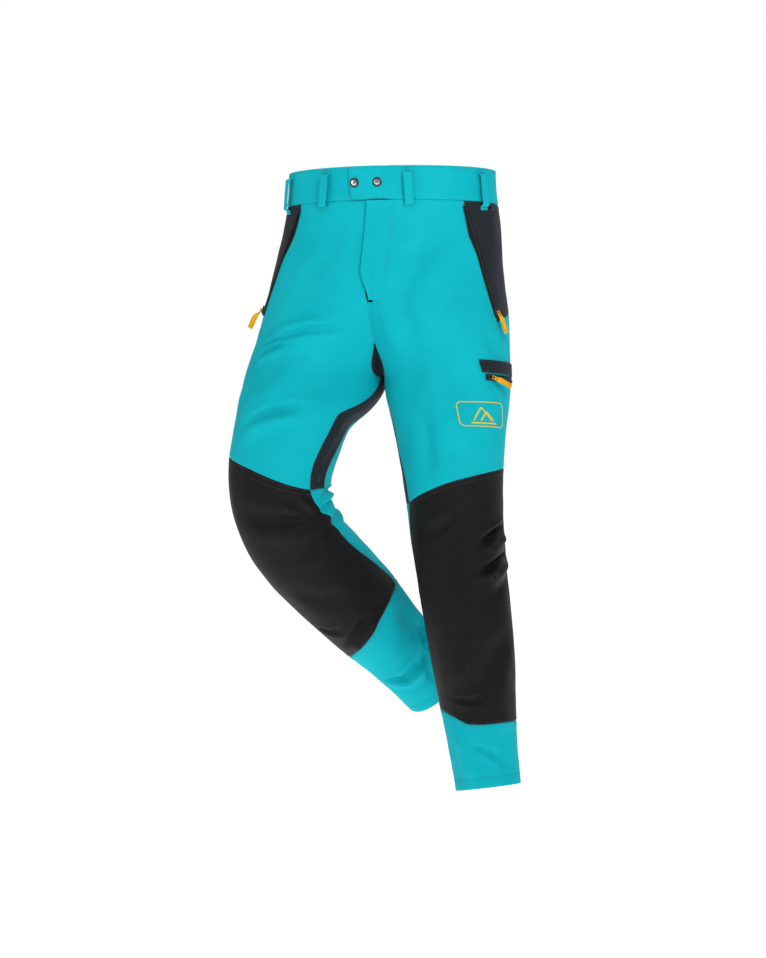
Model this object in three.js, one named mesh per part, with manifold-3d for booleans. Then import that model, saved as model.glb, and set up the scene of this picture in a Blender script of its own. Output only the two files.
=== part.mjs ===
// Protective forestry trousers, worn shape: one leg straight, the other bent behind it.
// Millimetres, +Z up. The origin is the centre of the waist opening, the front faces -Y
// and the wearer's left side is +X.
import * as THREE from "three";
import { mergeVertices } from "three/addons/utils/BufferGeometryUtils.js";
import Module from "manifold-3d";

const wasm = await Module();
wasm.setup();

// driving dimensions: body shape
const waistHalfWidth = 177;
const waistHalfDepth = 117;
const hipHalfWidth = 206;
const hipHalfDepth = 136;
const hipDrop = 235;
const crotchDrop = 346;
const thighHalfWidth = 104;
const thighHalfDepth = 107;
const kneeDrop = 603;
const kneeHalfWidth = 77;
const kneeHalfDepth = 86;
const calfDrop = 790;
const calfHalfWidth = 71;
const calfHalfDepth = 82;
const hemDrop = 1034;
const hemHalfWidth = 54;
const hemHalfDepth = 62;
const crotchRoundness = 2.2;
const midThighShare = 0.87;

// driving dimensions: cut lines, measured down from the top edge
const waistbandHeight = 57;
const gussetTopDrop = 287;
const hipPanelDrop = 261;
const kneeSeamInner = 556;
const kneeSeamFront = 528;
const kneeSeamOuter = 500;
const cuffSeamDrop = 930;

// driving dimensions: cloth layers
const shellThickness = 1.4;
const guardThickness = 6;
const liningThickness = 0.9;
const layerGap = 0.4;
const seamInset = 0.25;
const middleGap = 0.3;

// driving dimensions: pose of the legs
const hipPivotDrop = 190;
const pelvisSway = 12;
const swayTop = 60;
const swayBottom = 225;
const hipBlendTop = 130;
const middleReach = 105;
const crotchRelease = 430;
const hipBlendBottom = 440;
const twistTop = 290;
const twistBottom = 600;
const kneeBendTop = 465;
const kneeBendBottom = 690;
const rightThigh = new THREE.Vector3(-0.156, -0.304, -0.94);
const rightKneeAxis = new THREE.Vector3(0.815, -0.578, 0.033);
const rightKneeBend = 69;
const leftThigh = new THREE.Vector3(0.047, -0.0785, -0.996);
const leftKneeAxis = new THREE.Vector3(0.883, 0.469, 0);
const leftShinLean = 5.5;

// driving dimensions: fittings
const beltLoopWidth = 15;
const beltLoopHeight = 66;
const beltLoopStandoff = 6.4;
const beltLoopThickness = 1.6;
const beltLoopFoot = 7;
const tabReach = 62;
const tabLift = 3.6;
const snapRadius = 8;
const zipTapeWidth = 11;
const zipTapeThickness = 1.6;
const sliderLength = 13;
const sliderWidth = 9;
const sliderThickness = 2.6;
const sliderGap = 0.35;
const pullWidth = 9;
const pullLength = 40;
const flyFlapX = [-15, 32];
const flyShieldX = [-24, 20];
const flyFlapBottom = 222;
const thighPocketDrop = 340;
const flySlotHalf = 7;

const degrees = Math.PI / 180;
const clamp = THREE.MathUtils.clamp;
const mix = THREE.MathUtils.lerp;
const smooth = (x, from, to) => THREE.MathUtils.smoothstep(x, from, to);

// A smooth curve through [place, value] pairs, flat-free between them.
function through(pairs, at) {
  const last = pairs.length - 1;
  if (at <= pairs[0][0]) return pairs[0][1];
  if (at >= pairs[last][0]) return pairs[last][1];
  let k = 0;
  while (at > pairs[k + 1][0]) k += 1;
  const slope = (i) => {
    if (i === 0 || i === last) return 0;
    return (pairs[i + 1][1] - pairs[i - 1][1]) / (pairs[i + 1][0] - pairs[i - 1][0]);
  };
  const step = pairs[k + 1][0] - pairs[k][0];
  const t = (at - pairs[k][0]) / step;
  const a = pairs[k][1];
  const b = pairs[k + 1][1];
  const m = slope(k) * step;
  const n = slope(k + 1) * step;
  const t2 = t * t;
  const t3 = t2 * t;
  return (2 * t3 - 3 * t2 + 1) * a + (t3 - 2 * t2 + t) * m + (3 * t2 - 2 * t3) * b + (t3 - t2) * n;
}

// One leg's section at a drop: centre and half sizes of its ellipse. Above the crotch the
// two ellipses run into each other and are cut at the middle plane.
function section(drop) {
  const share = Math.pow(clamp(drop / crotchDrop, 0, 1), crotchRoundness);
  const outer = through([[0, waistHalfWidth], [hipDrop, hipHalfWidth], [crotchDrop, 2 * thighHalfWidth]], drop);
  const midThighDrop = 0.55 * crotchDrop + 0.45 * kneeDrop;
  const legWidth = through([[crotchDrop, thighHalfWidth], [midThighDrop, midThighShare * thighHalfWidth],
    [kneeDrop, kneeHalfWidth], [calfDrop, calfHalfWidth], [hemDrop, hemHalfWidth]], drop);
  const depth = through([[0, waistHalfDepth], [hipDrop, hipHalfDepth], [crotchDrop, thighHalfDepth],
    [kneeDrop, kneeHalfDepth], [calfDrop, calfHalfDepth], [hemDrop, hemHalfDepth]], drop);
  const back = through([[0, 0], [hipDrop, 14], [crotchDrop, 8], [kneeDrop, 0], [hemDrop, 4]], drop);
  const width = drop < crotchDrop ? outer / (1 + share) : legWidth;
  const centre = drop < crotchDrop ? share * width : thighHalfWidth;
  return { centre, width, depth, back };
}

// The angle, in degrees, where the section meets the middle plane at the front.
function middleAngle(drop) {
  const { centre, width } = section(drop);
  return Math.acos(clamp(centre / width, -1, 1)) / degrees;
}

// Seam lines: the angle round the section at each drop. 0 is the inner side, 90 the front,
// 180 the outer side and 270 the back.
function gussetFrontSeam(drop) {
  const slotShare = 1 - smooth(drop, flyFlapBottom - 4, flyFlapBottom + 24);
  const flySlot = slotShare * flySlotHalf / waistHalfWidth / degrees;
  if (drop <= gussetTopDrop) return middleAngle(drop) + flySlot;
  const spread = through([[gussetTopDrop, 0], [crotchDrop, 13], [390, 14], [460, 8], [kneeSeamInner, 2],
    [624, -19], [700, -25], [822, -45], [hemDrop, -50]], drop);
  return middleAngle(drop) + spread;
}
function gussetBackSeam(drop) {
  const spread = through([[gussetTopDrop, 0], [crotchDrop, 17], [390, 22], [kneeSeamInner, 22], [624, 34],
    [700, 42], [822, 62], [hemDrop, 68]], drop);
  return 360 - middleAngle(drop) - (drop > gussetTopDrop ? spread : 0);
}
function sideSeam(drop) {
  return through([[57, 140], [113, 141], [147, 147], [181, 153], [215, 157], [hipPanelDrop, 160],
    [330, 183], [420, 188]], drop);
}
function hipPanelBackSeam(drop) {
  const back = through([[57, 216], [150, 214], [205, 203], [235, 191], [hipPanelDrop, 160]], drop);
  return drop >= hipPanelDrop ? sideSeam(drop) : back;
}
// Below the crotch the inseam runs down the middle of the gusset.
function inseam(drop) {
  const middle = (gussetFrontSeam(drop) + gussetBackSeam(drop) - 360) / 2;
  return middle * smooth(drop, crotchDrop, crotchDrop + 60);
}

// Columns of the cloth grid run 0 to 20 round the leg, a block of them between each two seams.
function columnAngle(column, drop) {
  const middle = middleAngle(drop);
  const inner = inseam(drop);
  const seams = [inner + middle, gussetFrontSeam(drop), sideSeam(drop), hipPanelBackSeam(drop),
    gussetBackSeam(drop), inner + 360 - middle];
  const starts = [0, 1, 8, 11, 19, 20];
  let block = 0;
  while (block < 4 && column > starts[block + 1]) block += 1;
  const share = (column - starts[block]) / (starts[block + 1] - starts[block]);
  return mix(seams[block], seams[block + 1], share);
}

// Rows of the cloth grid, as drops that follow the slanted knee seam.
const waistRows = [0, 0.5];
const crotchShare = (crotchDrop - waistbandHeight) / (kneeSeamInner - waistbandHeight);
const gussetShare = (gussetTopDrop - waistbandHeight) / (kneeSeamInner - waistbandHeight);
const upperRows = [0, 0.12, 0.24, 0.36, gussetShare, (gussetShare + crotchShare) / 2, crotchShare,
  0.65, 0.74, 0.87];
const kneeRows = [0, 0.1, 0.2, 0.32, 0.45, 0.58, 0.72, 0.86];
const cuffRows = [0, 0.5, 1];
const rows = [];
for (const share of waistRows) rows.push([0, share]);
for (const share of upperRows) rows.push([1, share]);
for (const share of kneeRows) rows.push([2, share]);
for (const share of cuffRows) rows.push([3, share]);
const waistSeamRow = waistRows.length;
const gussetTopRow = waistSeamRow + 4;
const crotchRow = waistSeamRow + 6;
const kneeSeamRow = waistSeamRow + upperRows.length;
const thighLiningRow = kneeSeamRow - 1;
const shinLiningRow = kneeSeamRow + 5;
const cuffSeamRow = kneeSeamRow + kneeRows.length;
const hemRow = cuffSeamRow + cuffRows.length - 1;

function kneeSeam(column) {
  if (column > 8 && column < 11) return kneeSeamOuter;
  return through([[0, kneeSeamInner], [1, kneeSeamInner], [4, kneeSeamFront], [8, kneeSeamOuter],
    [11, kneeSeamOuter], [15, kneeSeamFront], [19, kneeSeamInner], [20, kneeSeamInner]], column);
}
// The knee panel ends higher on the inner side, and higher again on the bent leg, whose knee
// takes up cloth.
const cuffSeamRise = {
  left: [[0, 49], [1, 46], [3, 22], [4, 2], [6, -2], [8, 0], [11, 0], [15, 14], [19, 42], [20, 49]],
  right: [[0, 106], [1, 108], [3, 106], [6, 58], [8, 42], [11, 42], [15, 68], [19, 102], [20, 106]],
};
function rowDrop(side, row, column) {
  const [band, share] = rows[row];
  const level = column > 8 && column < 11 ? 8 : column;
  const cuffSeam = cuffSeamDrop - through(cuffSeamRise[side.name], level);
  const bounds = [0, waistbandHeight, kneeSeam(column), cuffSeam, hemDrop];
  return mix(bounds[band], bounds[band + 1], share);
}

// The pose of each leg: a swing at the hip that fades out towards the waist and the middle
// plane, a twist down the thigh, and a bend at the knee spread along the leg.
const down = new THREE.Vector3(0, 0, -1);
function legPose(name, sign, thigh, kneeAxis, bend, bendAxis) {
  const swing = new THREE.Quaternion().setFromUnitVectors(down, thigh.clone().normalize());
  const across = kneeAxis.clone().applyQuaternion(swing.clone().invert());
  const twist = Math.atan2(across.y, across.x);
  const side = { name, sign, swing, twist, bend: bend * degrees, bendAxis, kneeAxis };
  side.pivot = new THREE.Vector3(sign * thighHalfWidth, 8, -hipPivotDrop);
  side.line = [];
  const place = new THREE.Vector3();
  for (let drop = 0; drop <= hemDrop + 10; drop += 2) {
    side.line.push(place.clone());
    const angle = side.bend * smooth(drop + 1, kneeBendTop, kneeBendBottom);
    place.addScaledVector(down.clone().applyAxisAngle(bendAxis, angle), 2);
  }
  return side;
}
const sides = {
  left: legPose("left", 1, leftThigh, leftKneeAxis, leftShinLean, new THREE.Vector3(-0.259, -0.966, 0)),
  right: legPose("right", -1, rightThigh, rightKneeAxis, rightKneeBend, new THREE.Vector3(1, 0, 0)),
};
function centreLine(side, drop) {
  const place = clamp(drop / 2, 0, side.line.length - 1.001);
  const step = Math.floor(place);
  return side.line[step].clone().lerp(side.line[step + 1], place - step);
}
function pose(side, straight, drop, reach) {
  const nearMiddle = smooth(reach, 0, middleReach);
  const away = mix(nearMiddle, 1, smooth(drop, crotchDrop, crotchRelease));
  const angle = side.bend * smooth(drop, kneeBendTop, kneeBendBottom);
  const point = new THREE.Vector3(straight.x - side.pivot.x, straight.y - side.pivot.y, 0);
  point.applyAxisAngle(side.bendAxis, angle).add(centreLine(side, drop));
  point.applyAxisAngle(down, -side.twist * smooth(drop, twistTop, twistBottom) * away);
  point.x += side.sign * middleGap;
  point.z += hipPivotDrop;
  const share = smooth(drop, hipBlendTop, hipBlendBottom) * away;
  const swing = new THREE.Quaternion().slerp(side.swing, share);
  point.applyQuaternion(swing).add(side.pivot);
  point.x -= pelvisSway * smooth(drop, swayTop, swayBottom);
  return point;
}
// A point of the garment: a drop from the top, an angle round the section and a depth into
// the cloth, given as an inset from the outer skin.
function bodyPoint(side, drop, angle, inset) {
  const { centre, width, depth, back } = section(drop);
  const x = centre - (width - inset) * Math.cos(angle * degrees);
  const y = back - (depth - inset) * Math.sin(angle * degrees);
  const reach = Math.max(0, centre - width * Math.cos(angle * degrees));
  return pose(side, new THREE.Vector3(side.sign * x, y, -drop), drop, reach);
}
function gridPoint(side, row, column, inset) {
  const drop = rowDrop(side, row, column);
  return bodyPoint(side, drop, columnAngle(column, drop), inset);
}

const model = new THREE.Group();
function material(color, roughness, metalness = 0) {
  return new THREE.MeshStandardMaterial({ color, roughness, metalness });
}
const tealCloth = material(0x00c2ce, 0.8);
const charcoalCloth = material(0x233134, 0.85);
const blackCloth = material(0x1f1c1d, 0.9);
const guardFelt = material(0xd8d4c4, 0.95);
const liningMesh = material(0x1d4a52, 0.9);
const pocketCotton = material(0x2a3032, 0.9);
const zipPlastic = material(0x141516, 0.55);
const sliderMetal = material(0x2a2b2d, 0.4, 0.8);
const yellowCord = material(0xf0c121, 0.7);
const snapSteel = material(0xd4dad6, 0.25, 1);
const badgePrint = material(0xb8c84a, 0.7);

function addMesh(name, geometry, finish, matrix = null) {
  const mesh = new THREE.Mesh(geometry, finish);
  mesh.name = name;
  if (matrix) {
    matrix.decompose(mesh.position, mesh.quaternion, mesh.scale);
  }
  model.add(mesh);
  return mesh;
}

function geometryFrom(points, triangles) {
  const geometry = new THREE.BufferGeometry();
  const flat = points.flatMap((p) => [p.x, p.y, p.z]);
  geometry.setAttribute("position", new THREE.Float32BufferAttribute(flat, 3));
  geometry.setIndex(triangles.flat());
  return geometry;
}

// A closed cloth piece from grid cells: an outer and an inner skin joined round the edge.
// Edge points draw back a little, which leaves the seam gap to the next piece.
function clothPiece(cells, pointAt, outerInset, thickness, mirrored, drawBack = seamInset) {
  const places = [];
  const seen = new Map();
  const vertexAt = (row, column) => {
    const outer = pointAt(row, column, outerInset);
    const key = [outer.x, outer.y, outer.z].map((n) => Math.round(n * 100)).join();
    if (!seen.has(key)) {
      seen.set(key, places.length);
      places.push({ outer, inner: pointAt(row, column, outerInset + thickness) });
    }
    return seen.get(key);
  };
  const triangles = [];
  for (const [row, column] of cells) {
    const a = vertexAt(row, column);
    const b = vertexAt(row, column + 1);
    const c = vertexAt(row + 1, column + 1);
    const d = vertexAt(row + 1, column);
    for (const face of [[a, b, c], [a, c, d]]) {
      if (new Set(face).size === 3) triangles.push(mirrored ? [face[0], face[2], face[1]] : face);
    }
  }
  const edges = new Map();
  for (const [a, b, c] of triangles) {
    for (const [from, to] of [[a, b], [b, c], [c, a]]) {
      if (edges.has(`${to} ${from}`)) edges.delete(`${to} ${from}`);
      else edges.set(`${from} ${to}`, [from, to]);
    }
  }
  const rim = [...edges.values()];
  const heights = places.map((place) => place.outer.z);
  const inward = new Map();
  for (const [from, to] of rim) {
    for (const end of [from, to]) inward.set(end, new THREE.Vector3());
  }
  for (const face of triangles) {
    const [p, q, r] = face.map((vertex) => places[vertex].outer);
    const normal = q.clone().sub(p).cross(r.clone().sub(p)).normalize();
    for (let k = 0; k < 3; k += 1) {
      const from = face[k];
      const to = face[(k + 1) % 3];
      if (!edges.has(`${from} ${to}`)) continue;
      const way = normal.clone().cross(places[to].outer.clone().sub(places[from].outer)).normalize();
      inward.get(from).add(way);
      inward.get(to).add(way);
    }
  }
  for (const [vertex, way] of inward) {
    const length = clamp(2 * drawBack / Math.max(way.length(), 0.5), drawBack, 3 * drawBack);
    way.setLength(length);
    places[vertex].outer = places[vertex].outer.clone().add(way);
    places[vertex].inner = places[vertex].inner.clone().add(way);
  }
  const count = places.length;
  const points = [...places.map((place) => place.outer), ...places.map((place) => place.inner)];
  const all = [];
  for (const [a, b, c] of triangles) all.push([a, b, c], [a + count, c + count, b + count]);
  // Both sides of a seam split its rim along the same diagonal, from the higher outer point.
  for (const [from, to] of rim) {
    if (heights[from] > heights[to]) all.push([to, from, to + count], [from, from + count, to + count]);
    else all.push([to, from, from + count], [to, from + count, to + count]);
  }
  return geometryFrom(points, all);
}
function cellsBetween(rowFrom, rowTo, columnFrom, columnTo) {
  const cells = [];
  for (let row = rowFrom; row < rowTo; row += 1) {
    for (let column = columnFrom; column < columnTo; column += 1) cells.push([row, column]);
  }
  return cells;
}

const guardInset = shellThickness + layerGap;
const liningInset = guardInset + guardThickness + layerGap;

function addLeg(name, side) {
  const mirrored = side.sign > 0;
  const pointAt = (row, column, inset) => gridPoint(side, row, column, inset);
  const cloth = (part, finish, cells, inset = 0, thickness = shellThickness) => {
    addMesh(`${name}_${part}`, clothPiece(cells, pointAt, inset, thickness, mirrored), finish);
  };
  cloth("front_panel", tealCloth, cellsBetween(waistSeamRow, kneeSeamRow, 1, 8));
  cloth("hip_side_panel", charcoalCloth, cellsBetween(waistSeamRow, gussetTopRow, 8, 11));
  cloth("seat_panel", tealCloth, cellsBetween(waistSeamRow, kneeSeamRow, 11, 19));
  cloth("gusset", charcoalCloth, [...cellsBetween(gussetTopRow, kneeSeamRow, 19, 20),
    ...cellsBetween(gussetTopRow, kneeSeamRow, 0, 1)]);
  cloth("knee_panel", blackCloth, cellsBetween(kneeSeamRow, cuffSeamRow, 1, 8));
  cloth("calf_panel", tealCloth, [...cellsBetween(kneeSeamRow, cuffSeamRow, 11, 20),
    ...cellsBetween(kneeSeamRow, cuffSeamRow, 0, 1)]);
  cloth("hem_cuff", tealCloth, cellsBetween(cuffSeamRow, hemRow, 0, 20));
  const guardRows = cellsBetween(gussetTopRow, cuffSeamRow, 2, 8);
  cloth("cut_guard", guardFelt, guardRows, guardInset, guardThickness);
  cloth("thigh_lining", liningMesh, cellsBetween(waistSeamRow, thighLiningRow, 0, 20),
    liningInset, liningThickness);
  cloth("knee_lining", liningMesh, cellsBetween(thighLiningRow, shinLiningRow, 0, 20),
    liningInset, liningThickness);
  cloth("shin_lining", liningMesh, cellsBetween(shinLiningRow, hemRow, 0, 20), liningInset, liningThickness);
}

// A frame on the garment's surface: x runs round the body, y down it and z outwards.
function surfaceFrame(side, drop, angle, lift) {
  const here = bodyPoint(side, drop, angle, -lift);
  const round = bodyPoint(side, drop, angle + 1, -lift).sub(bodyPoint(side, drop, angle - 1, -lift));
  const down = bodyPoint(side, drop + 3, angle, -lift).sub(bodyPoint(side, drop - 3, angle, -lift));
  round.multiplyScalar(-side.sign);
  const out = down.clone().cross(round).normalize().negate();
  down.normalize();
  const across = down.clone().cross(out);
  return new THREE.Matrix4().makeBasis(across, down, out).setPosition(here);
}

addLeg("left", sides.left);
addLeg("right", sides.right);

// A cloth strip that follows the surface between two angles and two drops.
function surfaceStrip(name, side, finish, angles, drops, inset, thickness, counts, sink = null) {
  const [acrossCount, downCount] = counts;
  const pointAt = (row, column, depth) => {
    const drop = mix(drops[0], drops[1], row / downCount);
    const angle = mix(angles[0], angles[1], column / acrossCount);
    const extra = sink ? sink(column / acrossCount, row / downCount) : 0;
    return bodyPoint(side, drop, angle, depth + extra);
  };
  const cells = cellsBetween(0, downCount, 0, acrossCount);
  addMesh(name, clothPiece(cells, pointAt, inset, thickness, side.sign > 0), finish);
}

// Waistband: each half runs from the back seam to the front, where the right half passes
// under the closing tab.
const angleAtX = (x) => 90 + Math.asin(x / waistHalfWidth) / degrees;
const tabHingeX = 17;
const underlapX = 12;
const waistband = [0, waistbandHeight];
surfaceStrip("left_waistband", sides.left, tealCloth, [angleAtX(tabHingeX), 270], waistband, 0, 3, [14, 2]);
surfaceStrip("right_waistband", sides.right, tealCloth, [angleAtX(-underlapX), 270], waistband, 0, 3, [15, 2]);
const tabThickness = 1.6;
const tabEnd = tabHingeX - tabReach;
surfaceStrip("waist_tab", sides.left, tealCloth, [angleAtX(tabEnd), angleAtX(tabHingeX - 1)],
  [2, waistbandHeight - 2], -tabLift - tabThickness, tabThickness, [5, 3]);

// Snap fasteners: a cap and socket through the tab, a stud on the underlap.
function union(parts) {
  const solids = parts.map(({ geometry, matrix }) => {
    const placed = geometry.clone();
    if (matrix) placed.applyMatrix4(matrix);
    placed.deleteAttribute("normal");
    placed.deleteAttribute("uv");
    const merged = mergeVertices(placed, 1e-4);
    const vertProperties = new Float32Array(merged.attributes.position.array);
    const triVerts = new Uint32Array(merged.index.array);
    return new wasm.Manifold(new wasm.Mesh({ numProp: 3, vertProperties, triVerts }));
  });
  let whole = solids[0];
  for (const solid of solids.slice(1)) whole = whole.add(solid);
  const mesh = whole.getMesh();
  const geometry = new THREE.BufferGeometry();
  geometry.setAttribute("position", new THREE.Float32BufferAttribute(mesh.vertProperties, 3));
  geometry.setIndex([...mesh.triVerts]);
  return geometry;
}
function lathe(profile, steps = 16) {
  const points = profile.map(([radius, height]) => new THREE.Vector2(radius, height));
  return new THREE.LatheGeometry(points, steps).rotateX(Math.PI / 2);
}
const snapDrop = 28;
const snapPlaces = [2, -36];
snapPlaces.forEach((x, k) => {
  const frame = surfaceFrame(sides.left, snapDrop, angleAtX(x), 0);
  const at = (height) => frame.clone().multiply(new THREE.Matrix4().makeTranslation(0, 0, height));
  const cap = lathe([[0, 0], [snapRadius, 0], [snapRadius, 0.8], [0.8 * snapRadius, 1.6], [0, 2.2]]);
  addMesh(`snap_cap_${k + 1}`, cap, snapSteel, at(tabLift + tabThickness + 0.3));
  const hole = 2.1;
  const socket = lathe([[hole, 0], [5, 0], [5, 1.7], [hole, 1.7], [hole, 0]]);
  addMesh(`snap_socket_${k + 1}`, socket, snapSteel, at(tabLift - 2.1));
  const stud = lathe([[0, 0], [4.5, 0], [4.5, 0.7], [1.6, 0.7], [1.6, 2.2], [0, 2.6]]);
  addMesh(`snap_stud_${k + 1}`, stud, snapSteel, at(0.3));
});

// Belt loops: a strip with its two feet on the waistband and its span standing off it.
function beltLoop() {
  const half = beltLoopHeight / 2;
  const lift = beltLoopStandoff;
  const t = beltLoopThickness;
  const foot = half - beltLoopFoot;
  const outline = [[-half, 0], [-foot, 0], [-foot + 1, lift], [foot - 1, lift], [foot, 0], [half, 0], [half, t],
    [foot + 1.5, t + 0.5], [foot - 0.5, lift + t], [-foot + 0.5, lift + t], [-foot - 1.5, t + 0.5], [-half, t]];
  const shape = new THREE.Shape(outline.map(([x, y]) => new THREE.Vector2(x, y)));
  const geometry = new THREE.ExtrudeGeometry(shape, { depth: beltLoopWidth, bevelEnabled: false });
  geometry.translate(0, 0, -beltLoopWidth / 2);
  const toFrame = new THREE.Matrix4().makeBasis(new THREE.Vector3(0, 1, 0), new THREE.Vector3(0, 0, 1),
    new THREE.Vector3(1, 0, 0));
  return geometry.applyMatrix4(toFrame);
}
const beltLoopAngles = { left: [107, 156, 222], right: [120, 156, 222] };
const loopMiddleDrop = 38;
const beltLoopLift = (angle) => (angle > 200 ? 2.5 : 1.2);
let loopNumber = 0;
for (const [name, angles] of Object.entries(beltLoopAngles)) {
  for (const angle of angles) {
    loopNumber += 1;
    addMesh(`belt_loop_${loopNumber}`, beltLoop(), tealCloth,
      surfaceFrame(sides[name], loopMiddleDrop, angle, beltLoopLift(angle)));
  }
}
loopNumber += 1;
const backLoopAngle = 269.9;
addMesh(`belt_loop_${loopNumber}`, beltLoop(), tealCloth,
  surfaceFrame(sides.left, loopMiddleDrop, backLoopAngle, beltLoopLift(backLoopAngle)));

// Zips: the tape is swept along the circle through three points of the seam it closes, so
// its slider runs true about that circle's axis.
function arcThrough(a, b, c) {
  const ab = b.clone().sub(a);
  const ac = c.clone().sub(a);
  const normal = ab.clone().cross(ac);
  const centre = normal.clone().cross(ab).multiplyScalar(ac.lengthSq())
    .add(ac.clone().cross(normal).multiplyScalar(ab.lengthSq()))
    .divideScalar(2 * normal.lengthSq())
    .add(a);
  const axis = normal.normalize();
  const start = a.clone().sub(centre);
  const end = c.clone().sub(centre);
  const sweep = Math.atan2(start.clone().cross(end).dot(axis), start.dot(end));
  return { centre, axis, start, radius: start.length(), sweep };
}
// The moving frame along an arc: y along the travel, z the outward way, x across.
function arcFrame(arc, share, outward) {
  const point = arc.start.clone().applyAxisAngle(arc.axis, arc.sweep * share);
  const travel = arc.axis.clone().cross(point).normalize().multiplyScalar(Math.sign(arc.sweep));
  const turned = outward.clone().applyAxisAngle(arc.axis, arc.sweep * (share - 0.5));
  const out = turned.addScaledVector(travel, -turned.dot(travel)).normalize();
  const across = travel.clone().cross(out);
  return new THREE.Matrix4().makeBasis(across, travel, out).setPosition(point.add(arc.centre));
}
function zipTape(arc, outward, width, steps) {
  const points = [];
  const triangles = [];
  const half = width / 2;
  const corners = [[-half, 0], [half, 0], [half, zipTapeThickness], [-half, zipTapeThickness]];
  for (let k = 0; k <= steps; k += 1) {
    const frame = arcFrame(arc, k / steps, outward);
    for (const [x, z] of corners) points.push(new THREE.Vector3(x, 0, z).applyMatrix4(frame));
  }
  for (let k = 0; k < steps; k += 1) {
    for (let c = 0; c < 4; c += 1) {
      const a = 4 * k + c;
      const b = 4 * k + ((c + 1) % 4);
      triangles.push([b, a, a + 4], [b, a + 4, b + 4]);
    }
  }
  const last = 4 * steps;
  triangles.push([0, 1, 2], [0, 2, 3], [last, last + 2, last + 1], [last, last + 3, last + 2]);
  return geometryFrom(points, triangles);
}
const eyeRadius = 1.4;
const eyeWall = 0.9;
const eyeHeight = sliderThickness + eyeRadius + eyeWall;
function zipSlider() {
  const half = sliderLength / 2;
  const wide = sliderWidth / 2;
  const plate = new THREE.Shape([[-0.7 * wide, -half], [0.7 * wide, -half], [wide, 0], [wide, half], [-wide, half],
    [-wide, 0]].map(([x, y]) => new THREE.Vector2(x, y)));
  const body = new THREE.ExtrudeGeometry(plate, { depth: sliderThickness, bevelEnabled: false });
  const arch = new THREE.Shape();
  arch.moveTo(-eyeRadius - eyeWall, -eyeRadius - eyeWall - 0.4);
  arch.lineTo(eyeRadius + eyeWall, -eyeRadius - eyeWall - 0.4);
  arch.absarc(0, 0, eyeRadius + eyeWall, 0, Math.PI, false);
  arch.closePath();
  const hole = new THREE.Path();
  hole.absarc(0, 0, eyeRadius, 0, 2 * Math.PI, true);
  arch.holes.push(hole);
  const eye = new THREE.ExtrudeGeometry(arch, { depth: 1.6, bevelEnabled: false, curveSegments: 6 });
  const stand = new THREE.Matrix4().makeBasis(new THREE.Vector3(0, 1, 0), new THREE.Vector3(0, 0, 1),
    new THREE.Vector3(1, 0, 0)).setPosition(-0.8, 0, eyeHeight);
  return union([{ geometry: body }, { geometry: eye, matrix: stand }]);
}
// The pull hangs from a bar through the slider's eye. Its bar lies at the local origin.
const pullBar = 1.4;
const pullWindow = 4.2;
function zipPull(width, length) {
  const wide = width / 2;
  const top = -pullBar / 2;
  const outline = new THREE.Shape([[-wide, top], [wide, top], [wide, top + length], [-wide, top + length]]
    .map(([x, y]) => new THREE.Vector2(x, y)));
  const inner = wide - 1.5;
  outline.holes.push(new THREE.Path([[-inner, -top], [-inner, -top + pullWindow], [inner, -top + pullWindow],
    [inner, -top]].map(([x, y]) => new THREE.Vector2(x, y))));
  const geometry = new THREE.ExtrudeGeometry(outline, { depth: pullBar, bevelEnabled: false });
  return geometry.translate(0, 0, -pullBar / 2);
}
// Adds a tape, a slider at a share of its length, and a pull that leans and swings aside.
export const axes = {};
function addZip(name, arc, outward, sliderShare, pull, steps) {
  addMesh(`${name}_zip`, zipTape(arc, outward, zipTapeWidth, steps), zipPlastic);
  const frame = arcFrame(arc, sliderShare, outward);
  const lift = new THREE.Matrix4().makeTranslation(0, 0, zipTapeThickness + sliderGap);
  const seat = frame.clone().multiply(lift);
  addMesh(`${name}_slider`, zipSlider(), sliderMetal, seat);
  const swing = new THREE.Matrix4().makeTranslation(0, 0, eyeHeight)
    .multiply(new THREE.Matrix4().makeRotationZ(pull.aside * degrees))
    .multiply(new THREE.Matrix4().makeRotationX(pull.lean * degrees));
  const hung = seat.clone().multiply(swing);
  addMesh(`${name}_pull`, zipPull(pull.width, pull.length), yellowCord, hung);
  axes[name] = { arc, pullPlace: new THREE.Vector3().setFromMatrixPosition(hung),
    pullAxis: new THREE.Vector3().setFromMatrixColumn(hung, 0) };
}
function surfaceNormal(side, drop, angle) {
  return new THREE.Vector3().setFromMatrixColumn(surfaceFrame(side, drop, angle, 0), 2);
}
const leftHipPull = { width: pullWidth, length: pullLength, lean: 10, aside: 0 };
const rightHipPull = { width: pullWidth, length: pullLength, lean: 26, aside: 25 };
const hipZipDrops = [66, 156, 250];
const hipZipLift = 1;
for (const [name, side] of Object.entries(sides)) {
  const seam = hipZipDrops.map((drop) => bodyPoint(side, drop, sideSeam(drop), -hipZipLift));
  const outward = surfaceNormal(side, hipZipDrops[1], sideSeam(hipZipDrops[1]));
  addZip(`${name}_hip`, arcThrough(...seam), outward, 0.95, side.sign > 0 ? leftHipPull : rightHipPull, 10);
}

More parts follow.
